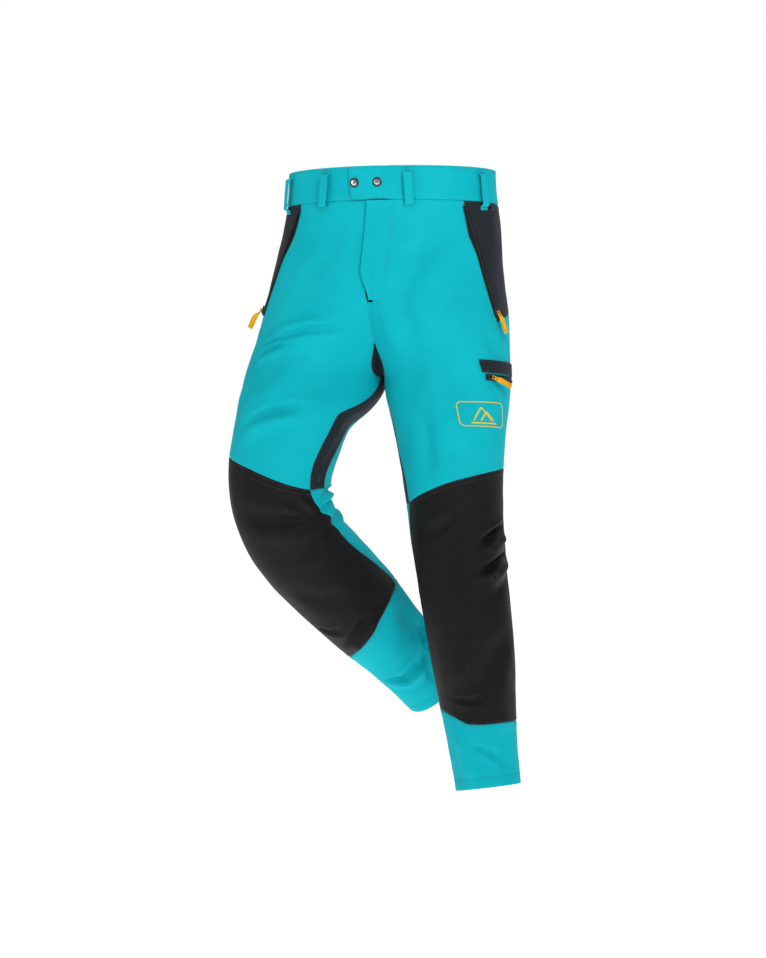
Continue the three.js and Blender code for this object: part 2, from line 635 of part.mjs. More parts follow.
// Fly: a flap outside the front seam, the zip under it on a shield that backs the opening.
const flyTop = waistbandHeight + 5;
const flyAngle = (x, drop) => 90 + Math.asin((x - section(drop).centre) / section(drop).width) / degrees;
function flyStrip(name, finish, reaches, drops, inset, thickness, counts) {
  const [acrossCount, downCount] = counts;
  const pointAt = (row, column, depth) => {
    const drop = mix(drops[0], drops[1], row / downCount);
    const x = mix(reaches[0], reaches[1], column / acrossCount);
    const height = bodyPoint(sides.left, drop, flyAngle(Math.abs(x), drop), 0).y;
    return new THREE.Vector3(x - pelvisSway * smooth(drop, swayTop, swayBottom), height + depth, -drop);
  };
  addMesh(name, clothPiece(cellsBetween(0, downCount, 0, acrossCount), pointAt, inset, thickness, true), finish);
}
const flyZipInset = 6;
const flyPoint = (drop) => {
  const middle = bodyPoint(sides.left, drop, middleAngle(drop), flyZipInset);
  return new THREE.Vector3(middle.x - middleGap, middle.y, middle.z);
};
const flyArc = arcThrough(flyPoint(flyTop), flyPoint(mix(flyTop, flyFlapBottom, 0.5)), flyPoint(flyFlapBottom - 8));
const flyPull = { width: 6.5, length: 22, lean: 3, aside: 0 };
addZip("fly", flyArc, new THREE.Vector3(0, -1, 0), 0.07, flyPull, 6);
const flyFlapLift = 4.6;
flyStrip("fly_flap", tealCloth, flyFlapX, [flyTop, flyFlapBottom], -flyFlapLift - shellThickness, shellThickness, [4, 5]);
const shieldInset = liningInset + liningThickness + 3;
flyStrip("fly_shield", liningMesh, flyShieldX, [flyTop, flyFlapBottom], shieldInset, 1.2, [4, 5]);

// Hip pocket bags hang between the shell and the lining, in front of each hip zip.
for (const [name, side] of Object.entries(sides)) {
  surfaceStrip(`${name}_hip_pocket_bag`, side, pocketCotton, [100, 136], [78, 236], 3.6, 3, [5, 6]);
}

// Thigh pocket on the left leg: a welt over a short zip.
const weltAngles = [131, 208];
surfaceStrip("thigh_pocket_welt", sides.left, charcoalCloth, weltAngles,
  [thighPocketDrop - 13, thighPocketDrop + 9], -2.6, 2, [9, 1]);
const thighZipDrop = thighPocketDrop + 17;
const thighSeam = [134, 169, 204].map((angle) => bodyPoint(sides.left, thighZipDrop, angle, -1.1));
const thighPull = { width: pullWidth, length: pullLength, lean: 10, aside: -22 };
addZip("thigh_pocket", arcThrough(...thighSeam), surfaceNormal(sides.left, thighZipDrop, 169), 0.07, thighPull, 8);
surfaceStrip("thigh_badge", sides.left, badgePrint, [97, 155], [398, 441], -1.4, 0.7, [7, 2]);

// A short hanger tag caught in the waistband seam at the left side.
surfaceStrip("side_tag", sides.left, pocketCotton, [163, 171], [60, 71], -1.8, 1.2, [2, 1]);

export default model;
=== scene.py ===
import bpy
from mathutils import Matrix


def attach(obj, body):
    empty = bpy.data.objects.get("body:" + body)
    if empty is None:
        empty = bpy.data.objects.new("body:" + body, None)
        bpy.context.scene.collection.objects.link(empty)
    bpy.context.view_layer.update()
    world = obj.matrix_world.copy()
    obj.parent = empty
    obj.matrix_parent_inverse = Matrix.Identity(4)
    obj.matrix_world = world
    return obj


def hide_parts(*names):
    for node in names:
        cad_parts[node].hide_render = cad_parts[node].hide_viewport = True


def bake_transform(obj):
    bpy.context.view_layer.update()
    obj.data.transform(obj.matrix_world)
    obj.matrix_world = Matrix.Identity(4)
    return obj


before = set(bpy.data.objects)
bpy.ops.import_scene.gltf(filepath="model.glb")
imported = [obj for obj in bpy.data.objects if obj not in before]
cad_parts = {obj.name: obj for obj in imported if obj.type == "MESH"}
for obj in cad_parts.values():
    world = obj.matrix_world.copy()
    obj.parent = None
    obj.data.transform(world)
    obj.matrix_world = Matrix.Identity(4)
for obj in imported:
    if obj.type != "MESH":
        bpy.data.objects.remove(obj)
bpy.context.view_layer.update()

import math
import random

import bpy
import numpy as np
from mathutils import Matrix, Vector, noise

random.seed(11)
print("frame loaded")

# camera first: in front of the wearer and a little to their left, level with the thighs
cameraPlace = {"azimuth": 13, "distance": 4.5, "height": -0.517, "aside": -0.015, "lens": 100}


def addCamera(place):
    turn = math.radians(place["azimuth"])
    right = Vector((math.cos(turn), math.sin(turn), 0))
    target = right * place["aside"] + Vector((0, 0, place["height"]))
    data = bpy.data.cameras.new("camera")
    data.sensor_fit = "VERTICAL"
    data.sensor_height = 36
    data.lens = place["lens"]
    camera = bpy.data.objects.new("camera", data)
    bpy.context.collection.objects.link(camera)
    camera.location = target + Vector((math.sin(turn), -math.cos(turn), 0)) * place["distance"]
    camera.rotation_euler = (math.pi / 2, 0, turn)
    bpy.context.scene.camera = camera


addCamera(cameraPlace)

# the body shape, in millimetres, as drops from the top edge and half sizes
shape = {
    "waistWidth": 177, "waistDepth": 117,
    "hipWidth": 206, "hipDepth": 136, "hipDrop": 235,
    "crotchDrop": 346, "thighWidth": 104, "thighDepth": 107,
    "kneeDrop": 603, "kneeWidth": 77, "kneeDepth": 86,
    "calfDrop": 790, "calfWidth": 71, "calfDepth": 82,
    "hemDrop": 1034, "hemWidth": 54, "hemDepth": 62,
    "crotchRoundness": 2.2,
}
cut = {
    "waistband": 57, "gussetTop": 287, "hipPanel": 261,
    "kneeInner": 556, "kneeFront": 528, "kneeOuter": 500, "cuff": 930, "flySlot": 7,
}
# how far the seam over each cuff rises, column by column; the bent knee takes up cloth
cuffRise = {
    "left": [(0, 49), (1, 46), (3, 22), (4, 2), (6, -2), (8, 0), (11, 0), (15, 14), (19, 42), (20, 49)],
    "right": [(0, 106), (1, 108), (3, 106), (6, 58), (8, 42), (11, 42), (15, 68), (19, 102), (20, 106)],
}
layers = {"shell": 1.4, "guard": 6, "lining": 0.9, "gap": 0.4, "middleGap": 0.3}
stance = {
    "hipPivot": 190, "sway": 12, "swayTop": 60, "swayBottom": 225, "hipTop": 130, "middleReach": 105,
    "crotchRelease": 430, "hipBottom": 440, "twistTop": 290, "twistBottom": 600,
    "bendTop": 465, "bendBottom": 690,
}
down = np.array([0.0, 0.0, -1.0])


def smooth(x, low, high):
    t = np.clip((np.asarray(x, float) - low) / (high - low), 0, 1)
    return t * t * (3 - 2 * t)


def through(pairs, at):
    place, value = np.array(pairs, float).T
    slope = np.zeros(len(place))
    slope[1:-1] = (value[2:] - value[:-2]) / (place[2:] - place[:-2])
    at = np.clip(np.asarray(at, float), place[0], place[-1])
    k = np.clip(np.searchsorted(place, at, side="right") - 1, 0, len(place) - 2)
    step = place[k + 1] - place[k]
    t = (at - place[k]) / step
    rise = 3 * t**2 - 2 * t**3
    ends = (1 - rise) * value[k] + rise * value[k + 1]
    return ends + step * ((t**3 - 2 * t**2 + t) * slope[k] + (t**3 - t**2) * slope[k + 1])


def section(drop):
    s = shape
    share = np.clip(drop / s["crotchDrop"], 0, 1) ** s["crotchRoundness"]
    outer = through([(0, s["waistWidth"]), (s["hipDrop"], s["hipWidth"]),
                     (s["crotchDrop"], 2 * s["thighWidth"])], drop)
    midThigh = 0.55 * s["crotchDrop"] + 0.45 * s["kneeDrop"]
    leg = through([(s["crotchDrop"], s["thighWidth"]), (midThigh, 0.87 * s["thighWidth"]),
                   (s["kneeDrop"], s["kneeWidth"]), (s["calfDrop"], s["calfWidth"]),
                   (s["hemDrop"], s["hemWidth"])], drop)
    depth = through([(0, s["waistDepth"]), (s["hipDrop"], s["hipDepth"]),
                     (s["crotchDrop"], s["thighDepth"]),
                     (s["kneeDrop"], s["kneeDepth"]), (s["calfDrop"], s["calfDepth"]),
                     (s["hemDrop"], s["hemDepth"])], drop)
    back = through([(0, 0), (s["hipDrop"], 14), (s["crotchDrop"], 8), (s["kneeDrop"], 0),
                    (s["hemDrop"], 4)], drop)
    width = np.where(drop < s["crotchDrop"], outer / (1 + share), leg)
    centre = np.where(drop < s["crotchDrop"], share * width, s["thighWidth"])
    return centre, width, depth, back


def middleAngle(drop):
    centre, width, _, _ = section(drop)
    return np.degrees(np.arccos(np.clip(centre / width, -1, 1)))


# seam lines as angles round the leg: 0 is the inner side, 90 the front, 180 the outer side, 270 the back
def gussetFront(drop):
    slot = math.degrees(cut["flySlot"] / shape["waistWidth"]) * (1 - smooth(drop, 212, 244))
    spread = through([(cut["gussetTop"], 0), (shape["crotchDrop"], 13), (390, 14), (460, 8),
                      (cut["kneeInner"], 2), (624, -19), (700, -25), (822, -45), (shape["hemDrop"], -50)],
                      drop)
    return middleAngle(drop) + np.where(drop <= cut["gussetTop"], slot, spread)


def gussetBack(drop):
    spread = through([(cut["gussetTop"], 0), (shape["crotchDrop"], 17), (390, 22), (cut["kneeInner"], 22),
                      (624, 34), (700, 42), (822, 62), (shape["hemDrop"], 68)], drop)
    return 360 - middleAngle(drop) - np.where(drop > cut["gussetTop"], spread, 0)


def sideSeam(drop):
    return through([(57, 140), (113, 141), (147, 147), (181, 153), (215, 157), (cut["hipPanel"], 160),
                    (330, 183), (420, 188)], drop)


def hipPanelBack(drop):
    back = through([(57, 216), (150, 214), (205, 203), (235, 191), (cut["hipPanel"], 160)], drop)
    return np.where(drop >= cut["hipPanel"], sideSeam(drop), back)


def inseam(drop):
    middle = (gussetFront(drop) + gussetBack(drop) - 360) / 2
    return middle * smooth(drop, shape["crotchDrop"], shape["crotchDrop"] + 60)


# the cloth runs in columns from 0 to 20 round a leg; past 20 it starts again
def columnAngle(column, drop):
    column, drop = np.broadcast_arrays(np.asarray(column, float), np.asarray(drop, float))
    turn = np.where(column > 20, 1, 0)
    column = column - 20 * turn
    middle, inner = middleAngle(drop), inseam(drop)
    seams = np.stack([inner + middle, gussetFront(drop), sideSeam(drop), hipPanelBack(drop),
                      gussetBack(drop), inner + 360 - middle])
    starts = np.array([0, 1, 8, 11, 19, 20])
    block = np.clip(np.searchsorted(starts, column, side="left") - 1, 0, 4)
    share = (column - starts[block]) / (starts[block + 1] - starts[block])
    low = np.take_along_axis(seams, block[None], 0)[0]
    high = np.take_along_axis(seams, block[None] + 1, 0)[0]
    return low + (high - low) * share + 360 * turn


def kneeSeam(column):
    column = np.asarray(column, float)
    column = np.where(column > 20, column - 20, column)
    line = through([(0, cut["kneeInner"]), (1, cut["kneeInner"]), (4, cut["kneeFront"]),
                    (8, cut["kneeOuter"]),
                    (11, cut["kneeOuter"]), (15, cut["kneeFront"]), (19, cut["kneeInner"]),
                    (20, cut["kneeInner"])], column)
    return np.where((column > 8) & (column < 11), cut["kneeOuter"], line)


def cuffSeam(side):
    def seam(column):
        column = np.asarray(column, float)
        column = np.where(column > 20, column - 20, column)
        column = np.where((column > 8) & (column < 11), 8, column)
        return cut["cuff"] - through(cuffRise[side["name"]], column)
    return seam


# the pose of each leg: a swing at the hip, a twist down the thigh and a bend at the knee
def turned(points, axis, angle):
    angle = np.asarray(angle, float)[:, None]
    dot = points @ axis
    return (points * np.cos(angle) + np.cross(np.broadcast_to(axis, points.shape), points) * np.sin(angle)
            + np.outer(dot, axis) * (1 - np.cos(angle)))


def unit(values):
    values = np.asarray(values, float)
    return values / np.linalg.norm(values)


def legPose(name, sign, thigh, kneeAxis, bend, bendAxis):
    thigh = unit(thigh)
    side = {"name": name, "sign": sign, "bend": math.radians(bend), "bendAxis": np.array(bendAxis, float)}
    side["swingAxis"] = unit(np.cross(down, thigh))
    side["swing"] = math.acos(down @ thigh)
    across = turned(np.array([kneeAxis], float), side["swingAxis"], [-side["swing"]])[0]
    side["twist"] = math.atan2(across[1], across[0])
    side["pivot"] = np.array([sign * shape["thighWidth"], 8.0, -stance["hipPivot"]])
    drops = np.arange(0, shape["hemDrop"] + 11, 2)
    bends = side["bend"] * smooth(drops + 1, stance["bendTop"], stance["bendBottom"])
    steps = 2 * turned(np.tile(down, (len(drops), 1)), side["bendAxis"], bends)
    side["line"] = np.vstack([[0, 0, 0], np.cumsum(steps, 0)[:-1]])
    return side


left = legPose("left", 1, (0.047, -0.0785, -0.996), (0.883, 0.469, 0), 5.5, (-0.259, -0.966, 0))
right = legPose("right", -1, (-0.156, -0.304, -0.94), (0.815, -0.578, 0.033), 69, (1, 0, 0))


def bodyPoints(side, drop, angle, inset=0.0, straight=False):
    drop, angle, inset = np.broadcast_arrays(np.asarray(drop, float), np.asarray(angle, float),
                                             np.asarray(inset, float))
    drop, angle, inset = drop.ravel(), angle.ravel(), inset.ravel()
    centre, width, depth, back = section(drop)
    turn = np.radians(angle)
    x = side["sign"] * (centre - (width - inset) * np.cos(turn))
    y = back - (depth - inset) * np.sin(turn)
    if straight:
        return np.stack([x, y, -drop], 1)
    reach = np.maximum(0, centre - width * np.cos(turn))
    near = smooth(reach, 0, stance["middleReach"])
    away = near + (1 - near) * smooth(drop, shape["crotchDrop"], stance["crotchRelease"])
    bend = side["bend"] * smooth(drop, stance["bendTop"], stance["bendBottom"])
    points = np.stack([x - side["pivot"][0], y - side["pivot"][1], np.zeros(len(x))], 1)
    points = turned(points, side["bendAxis"], bend)
    places = np.arange(len(side["line"])) * 2.0
    points += np.stack([np.interp(drop, places, side["line"][:, k]) for k in range(3)], 1)
    points = turned(points, down,
                    -side["twist"] * smooth(drop, stance["twistTop"], stance["twistBottom"]) * away)
    points[:, 0] += side["sign"] * layers["middleGap"]
    points[:, 2] += stance["hipPivot"]
    points = turned(points, side["swingAxis"],
                    side["swing"] * smooth(drop, stance["hipTop"], stance["hipBottom"]) * away)
    points += side["pivot"]
    points[:, 0] -= stance["sway"] * smooth(drop, stance["swayTop"], stance["swayBottom"])
    return points


def bodyNormals(side, drop, angle):
    drop, angle = np.broadcast_arrays(np.asarray(drop, float), np.asarray(angle, float))
    round_ = bodyPoints(side, drop, angle + 0.6) - bodyPoints(side, drop, angle - 0.6)
    along = bodyPoints(side, drop + 1.2, angle) - bodyPoints(side, drop - 1.2, angle)
    normal = side["sign"] * np.cross(along, round_)
    return normal / np.maximum(np.linalg.norm(normal, axis=1, keepdims=True), 1e-9)


# folds of the worn cloth: height (a valley is below 0), half width, and points of drop and angle
folds = {
    "left": [
        (-5.5, 15, [(92, 134), (150, 112), (215, 90), (300, 80)]),
        (3.2, 22, [(150, 84), (235, 68), (320, 58)]),
        (-2.6, 26, [(280, 112), (360, 108), (450, 122)]),
        (3.0, 24, [(300, 88), (400, 84), (500, 92)]),
        (-2.8, 13, [(420, 62), (470, 58), (528, 44)]),
        (-2.2, 12, [(270, 145), (310, 150), (330, 168)]),
        (-6.5, 6, [(604, 150), (618, 128), (640, 98)]),
        (4.2, 9, [(622, 155), (640, 130), (658, 104)]),
        (-6.0, 6, [(650, 158), (668, 128), (690, 90)]),
        (3.6, 9, [(668, 155), (690, 125), (710, 96)]),
        (-3.0, 8, [(590, 70), (606, 50), (610, 30)]),
        (-3.4, 17, [(780, 130), (840, 96), (905, 54)]),
        (2.6, 18, [(760, 92), (820, 66), (880, 40)]),
        (-3.0, 4.5, [(884, 34), (893, 56), (892, 80)]),
        (-3.2, 5, [(962, 50), (974, 74), (992, 98)]),
        (3.4, 12, [(940, 28), (985, 34), (1026, 46)]),
        (-2.6, 9, [(940, 118), (975, 104), (1020, 108)]),
        (-3.4, 10, [(196, 205), (250, 228), (300, 262)]),
        (-4.5, 9, [(352, 300), (356, 268), (340, 225)]),
        (3.6, 12, [(330, 296), (334, 262), (318, 232)]),
        (-3.0, 10, [(392, 296), (404, 262), (398, 220)]),
        (-5.0, 7, [(572, 222), (588, 262), (580, 312)]),
        (4.0, 9, [(590, 226), (606, 264), (600, 310)]),
        (-5.0, 7, [(620, 216), (630, 262), (622, 318)]),
        (3.6, 9, [(640, 222), (650, 262), (644, 312)]),
        (-4.2, 8, [(668, 226), (676, 264), (664, 306)]),
        (-3.0, 14, [(740, 226), (810, 262), (880, 300)]),
        (-2.8, 9, [(930, 250), (960, 280), (1010, 300)]),
    ],
    "right": [
        (-3.6, 6.5, [(322, 140), (300, 108), (276, 80), (262, 66)]),
        (4.2, 10, [(306, 138), (284, 108), (262, 84)]),
        (-3.2, 5, [(304, 140), (297, 126), (288, 112)]),
        (-3.6, 7, [(352, 138), (334, 122), (318, 106)]),
        (2.4, 9, [(366, 132), (350, 116), (334, 102)]),
        (-1.8, 14, [(92, 112), (140, 106), (190, 112)]),
        (-2.2, 20, [(130, 78), (190, 70), (240, 56)]),
        (-4.2, 8, [(478, 106), (452, 68), (428, 40)]),
        (3.4, 11, [(496, 100), (472, 68), (446, 42)]),
        (-2.6, 14, [(400, 120), (440, 128), (490, 122)]),
        (2.6, 20, [(360, 82), (410, 84), (450, 96)]),
        (-4.4, 7, [(602, 2), (590, 36), (582, 66), (572, 92)]),
        (2.5, 9, [(622, 4), (612, 34), (602, 66)]),
        (-3.0, 6, [(598, 4), (576, 20), (558, 40)]),
        (2.1, 8, [(586, 2), (580, 12), (566, 22)]),
        (-1.9, 8, [(640, 42), (644, 22), (632, 6)]),
        (3.6, 12, [(616, -10), (612, -24), (604, -36)]),
        (-3.3, 7, [(602, 0), (600, -20), (592, -44), (590, -80)]),
        (-3.0, 8, [(570, -10), (566, -40), (572, -84)]),
        (2.4, 10, [(584, -14), (582, -40), (584, -80)]),
        (-2.8, 8, [(634, -20), (640, -50), (630, -92)]),
        (2.2, 10, [(650, -20), (656, -50), (648, -84)]),
        (-2.6, 14, [(680, 70), (720, 54), (742, 28)]),
        (-2.8, 6, [(772, 98), (786, 80), (790, 62)]),
        (-3.2, 8, [(828, 84), (812, 52), (798, 18)]),
        (2.6, 12, [(846, 80), (832, 50), (818, 20)]),
        (-4.0, 6, [(934, 94), (950, 52), (942, 6)]),
        (3.2, 8, [(950, 90), (966, 52), (958, 14)]),
        (-5.0, 5, [(938, 0), (966, 14), (990, 26)]),
        (-4.4, 6, [(938, -2), (916, -22), (900, -30)]),
        (-4.0, 5, [(940, -4), (958, -26), (966, -60)]),
        (-2.8, 16, [(830, -20), (880, -14), (925, -6)]),
        (-3.4, 10, [(196, 205), (250, 228), (300, 262)]),
        (-4.5, 9, [(352, 300), (356, 268), (340, 225)]),
        (3.6, 12, [(330, 296), (334, 262), (318, 232)]),
        (-4.0, 12, [(420, 290), (450, 250), (440, 205)]),
        (-3.0, 14, [(740, 226), (810, 262), (880, 296)]),
        (-2.8, 9, [(930, 250), (960, 280), (1010, 300)]),
    ],
}
looseness = {"folds": 1.65, "broad": 2.4, "broadSize": 70, "fine": 0.7, "fineSize": 20}


def nearestTurn(angle, middle):
    return (angle - middle + 180) % 360 - 180 + middle


def foldRidge(fold, drop, angle):
    height, width, points = fold
    drops = np.array([p[0] for p in points], float)
    middle = np.mean([p[1] for p in points])
    _, legWidth, legDepth, _ = section(np.array([drops.mean()]))
    scale = math.radians(1) * float(legWidth[0] + legDepth[0]) / 2
    x = nearestTurn(angle, middle) * scale
    line = np.array([(p[1] * scale, p[0]) for p in points], float)
    lengths = np.linalg.norm(np.diff(line, axis=0), axis=1)
    total = lengths.sum()
    best = np.full(len(drop), 1e9)
    along = np.zeros(len(drop))
    before = 0.0
    for start, end, length in zip(line[:-1], line[1:], lengths):
        way = (end - start) / length
        t = np.clip((x - start[0]) * way[0] + (drop - start[1]) * way[1], 0, length)
        far = np.hypot(x - start[0] - t * way[0], drop - start[1] - t * way[1])
        closer = far < best
        best = np.where(closer, far, best)
        along = np.where(closer, (before + t) / total, along)
        before += length
    taper = smooth(along, 0, 0.28) * (1 - smooth(along, 0.72, 1)) * 0.85 + 0.15
    wide = width * (0.75 + 0.5 * along)
    shoulders = 0.28 * np.exp(-(((best - 2 * wide) / wide) ** 2))
    return height * taper * (np.exp(-((best / wide) ** 2)) - shoulders)


def foldHeight(side, drop, angle):
    total = np.zeros(len(drop))
    for fold in folds[side["name"]]:
        total += looseness["folds"] * foldRidge(fold, drop, angle)
    rest = bodyPoints(side, drop, angle, straight=True)
    broad, fine = rest / looseness["broadSize"], rest / looseness["fineSize"]
    broad[:, 2] *= 0.55
    fine[:, 2] *= 0.6
    total += looseness["broad"] * np.array([noise.noise(p) for p in broad])
    total += looseness["fine"] * np.array([noise.noise(p) for p in fine])
    centre, width, _, _ = section(drop)
    reach = np.maximum(0, centre - width * np.cos(np.radians(angle)))
    keep = smooth(reach, 4, 52)
    keep += (1 - keep) * smooth(drop, shape["crotchDrop"], shape["crotchDrop"] + 60)
    keep *= 0.12 + 0.88 * smooth(drop, 52, 92)
    toZip = np.abs(nearestTurn(angle, 150) - sideSeam(drop)) * 2.6
    keep *= 1 - (1 - smooth(toZip, 7, 34)) * (1 - smooth(drop, 262, 290))
    if side["name"] == "left":
        pocket = (1 - smooth(np.abs(drop - 346), 16,
                             34)) * (1 - smooth(np.abs(nearestTurn(angle, 169) - 169), 38, 50))
        keep *= 1 - 0.9 * pocket
    return total * keep


def skin(side, drop, angle, inset=0.0, relief=None):
    drop, angle = np.broadcast_arrays(np.asarray(drop, float), np.asarray(angle, float))
    drop, angle = drop.ravel(), angle.ravel()
    height = foldHeight(side, drop, angle)
    if relief is not None:
        height = height + relief
    normals = bodyNormals(side, drop, angle)
    return bodyPoints(side, drop, angle, inset) + normals * height[:, None], normals


print("shape and folds ready")


# small helpers for meshes
def deselect():
    if bpy.context.object and bpy.context.object.mode != "OBJECT":
        bpy.ops.object.mode_set(mode="OBJECT")
    bpy.ops.object.select_all(action="DESELECT")


def choose(piece):
    deselect()
    piece.select_set(True)
    bpy.context.view_layer.objects.active = piece


def coordinates(piece):
    flat = np.zeros(len(piece.data.vertices) * 3)
    piece.data.vertices.foreach_get("co", flat)
    return flat.reshape(-1, 3)


def place(piece, points):
    piece.data.vertices.foreach_set("co", np.asarray(points, float).ravel())
    piece.data.update()


def modify(piece, kind, **settings):
    choose(piece)
    modifier = piece.modifiers.new(kind.lower(), kind)
    for key, value in settings.items():
        setattr(modifier, key, value)
    bpy.ops.object.modifier_apply(modifier=modifier.name)


def shadeSmooth(piece, angle=50):
    choose(piece)
    bpy.ops.object.shade_smooth_by_angle(angle=math.radians(angle))


def finishWith(piece, material, slotName, *nodes):
    piece.data.materials.clear()
    piece.data.materials.append(material)
    if nodes:
        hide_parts(*nodes)
    return piece


# materials
def linear(red, green, blue):
    def one(value):
        value /= 255
        return value / 12.92 if value <= 0.04045 else ((value + 0.055) / 1.055) ** 2.4
    return (one(red), one(green), one(blue), 1)


class Nodes:
    def __init__(self, tree):
        self.tree = tree

    def add(self, kind, settings=None, **inputs):
        node = self.tree.nodes.new(kind)
        for key, value in (settings or {}).items():
            setattr(node, key, value)
        for key, value in inputs.items():
            self.give(node, key.replace("_", " "), value)
        return node

    def give(self, node, key, value):
        socket = node.inputs[int(key)] if key.isdigit() else node.inputs[key]
        if isinstance(value, bpy.types.NodeSocket):
            self.tree.links.new(value, socket)
        else:
            socket.default_value = value

    def sum(self, operation, a, b=0.0, clamp=False):
        node = self.add("ShaderNodeMath", {"operation": operation, "use_clamp": clamp})
        self.give(node, "0", a)
        self.give(node, "1", b)
        return node.outputs[0]


def newGroup(name, inputs, outputs):
    tree = bpy.data.node_groups.new(name, "ShaderNodeTree")
    for label, kind, value in inputs:
        socket = tree.interface.new_socket(label, in_out="INPUT", socket_type=kind)
        if value is not None:
            socket.default_value = value
    for label, kind in outputs:
        tree.interface.new_socket(label, in_out="OUTPUT", socket_type=kind)
    work = Nodes(tree)
    return work, work.add("NodeGroupInput").outputs, work.add("NodeGroupOutput")


def makeWeaveGroup():
    # threads crossing over and under, with every float a touch uneven
    work, given, out = newGroup(
        "clothWeave",
        [("Vector", "NodeSocketVector", None), ("Threads", "NodeSocketFloat", 1400.0),
         ("Slant", "NodeSocketFloat", 0.0)],
        [("Height", "NodeSocketFloat"), ("Mask", "NodeSocketFloat")])
    split = work.add("ShaderNodeSeparateXYZ", Vector=given["Vector"])
    turns = work.sum("MULTIPLY", given["Threads"], math.pi)
    across = work.sum("MULTIPLY", split.outputs["X"], turns)
    slanted = work.sum("ADD", across,
                       work.sum("MULTIPLY", work.sum("MULTIPLY", split.outputs["Y"], turns),
                                given["Slant"]))
    warp = work.sum("SINE", slanted)
    weft = work.sum("SINE", work.sum("MULTIPLY", split.outputs["Y"], turns))
    both = work.sum("MULTIPLY", warp, weft)
    uneven = work.add("ShaderNodeTexNoise", Vector=given["Vector"], Scale=900.0, Detail=2.0)
    height = work.sum("ADD", work.sum("MULTIPLY", both, 0.5),
                      work.sum("MULTIPLY", uneven.outputs["Fac"], 0.6))
    work.give(out, "Height", height)
    work.give(out, "Mask", work.sum("MULTIPLY", both, both))
    return work.tree


def makeToneGroup():
    # slow drifts of dye and a fine heather between two close colours
    work, given, out = newGroup(
        "clothTone",
        [("Vector", "NodeSocketVector", None), ("Base", "NodeSocketColor", None),
         ("Shade", "NodeSocketColor", None),
         ("Drift", "NodeSocketFloat", 9.0), ("Amount", "NodeSocketFloat", 0.5)],
        [("Color", "NodeSocketColor"), ("Mask", "NodeSocketFloat")])
    slow = work.add("ShaderNodeTexNoise", Vector=given["Vector"], Scale=given["Drift"], Detail=3.0)
    fine = work.add("ShaderNodeTexNoise", Vector=given["Vector"], Scale=620.0, Detail=3.0, Roughness=0.7)
    blend = work.sum("ADD", work.sum("MULTIPLY", slow.outputs["Fac"], 0.6),
                     work.sum("MULTIPLY", fine.outputs["Fac"], 0.4))
    ramp = work.add("ShaderNodeMapRange", Value=blend, From_Min=0.38, From_Max=0.64)
    share = work.sum("MULTIPLY", ramp.outputs["Result"], given["Amount"])
    mixed = work.add("ShaderNodeMix", {"data_type": "RGBA"})
    work.give(mixed, "Factor", share)
    work.tree.links.new(given["Base"], mixed.inputs[6])
    work.tree.links.new(given["Shade"], mixed.inputs[7])
    work.give(out, "Color", mixed.outputs[2])
    work.give(out, "Mask", ramp.outputs["Result"])
    return work.tree


def makeWearGroup():
    # scuffs and dust where a surface stands proud
    work, given, out = newGroup(
        "edgeWear",
        [("Vector", "NodeSocketVector", None), ("Scale", "NodeSocketFloat", 60.0),
         ("Amount", "NodeSocketFloat", 0.5)],
        [("Mask", "NodeSocketFloat")])
    geometry = work.add("ShaderNodeNewGeometry")
    proud = work.add("ShaderNodeMapRange", Value=geometry.outputs["Pointiness"], From_Min=0.505,
                     From_Max=0.56)
    patch = work.add("ShaderNodeTexNoise", Vector=given["Vector"], Scale=given["Scale"], Detail=5.0,
                     Roughness=0.65)
    worn = work.add("ShaderNodeMapRange", Value=patch.outputs["Fac"], From_Min=0.42, From_Max=0.62)
    mask = work.sum("MULTIPLY", proud.outputs["Result"], worn.outputs["Result"])
    work.give(out, "Mask", work.sum("MULTIPLY", mask, given["Amount"], True))
    return work.tree


weaveGroup = makeWeaveGroup()
toneGroup = makeToneGroup()
wearGroup = makeWearGroup()


def startMaterial(name):
    material = bpy.data.materials.new(name)
    material.use_nodes = True
    work = Nodes(material.node_tree)
    shader = material.node_tree.nodes["Principled BSDF"]
    return material, work, shader


def groupNode(work, tree, **inputs):
    return work.add("ShaderNodeGroup", {"node_tree": tree}, **inputs)


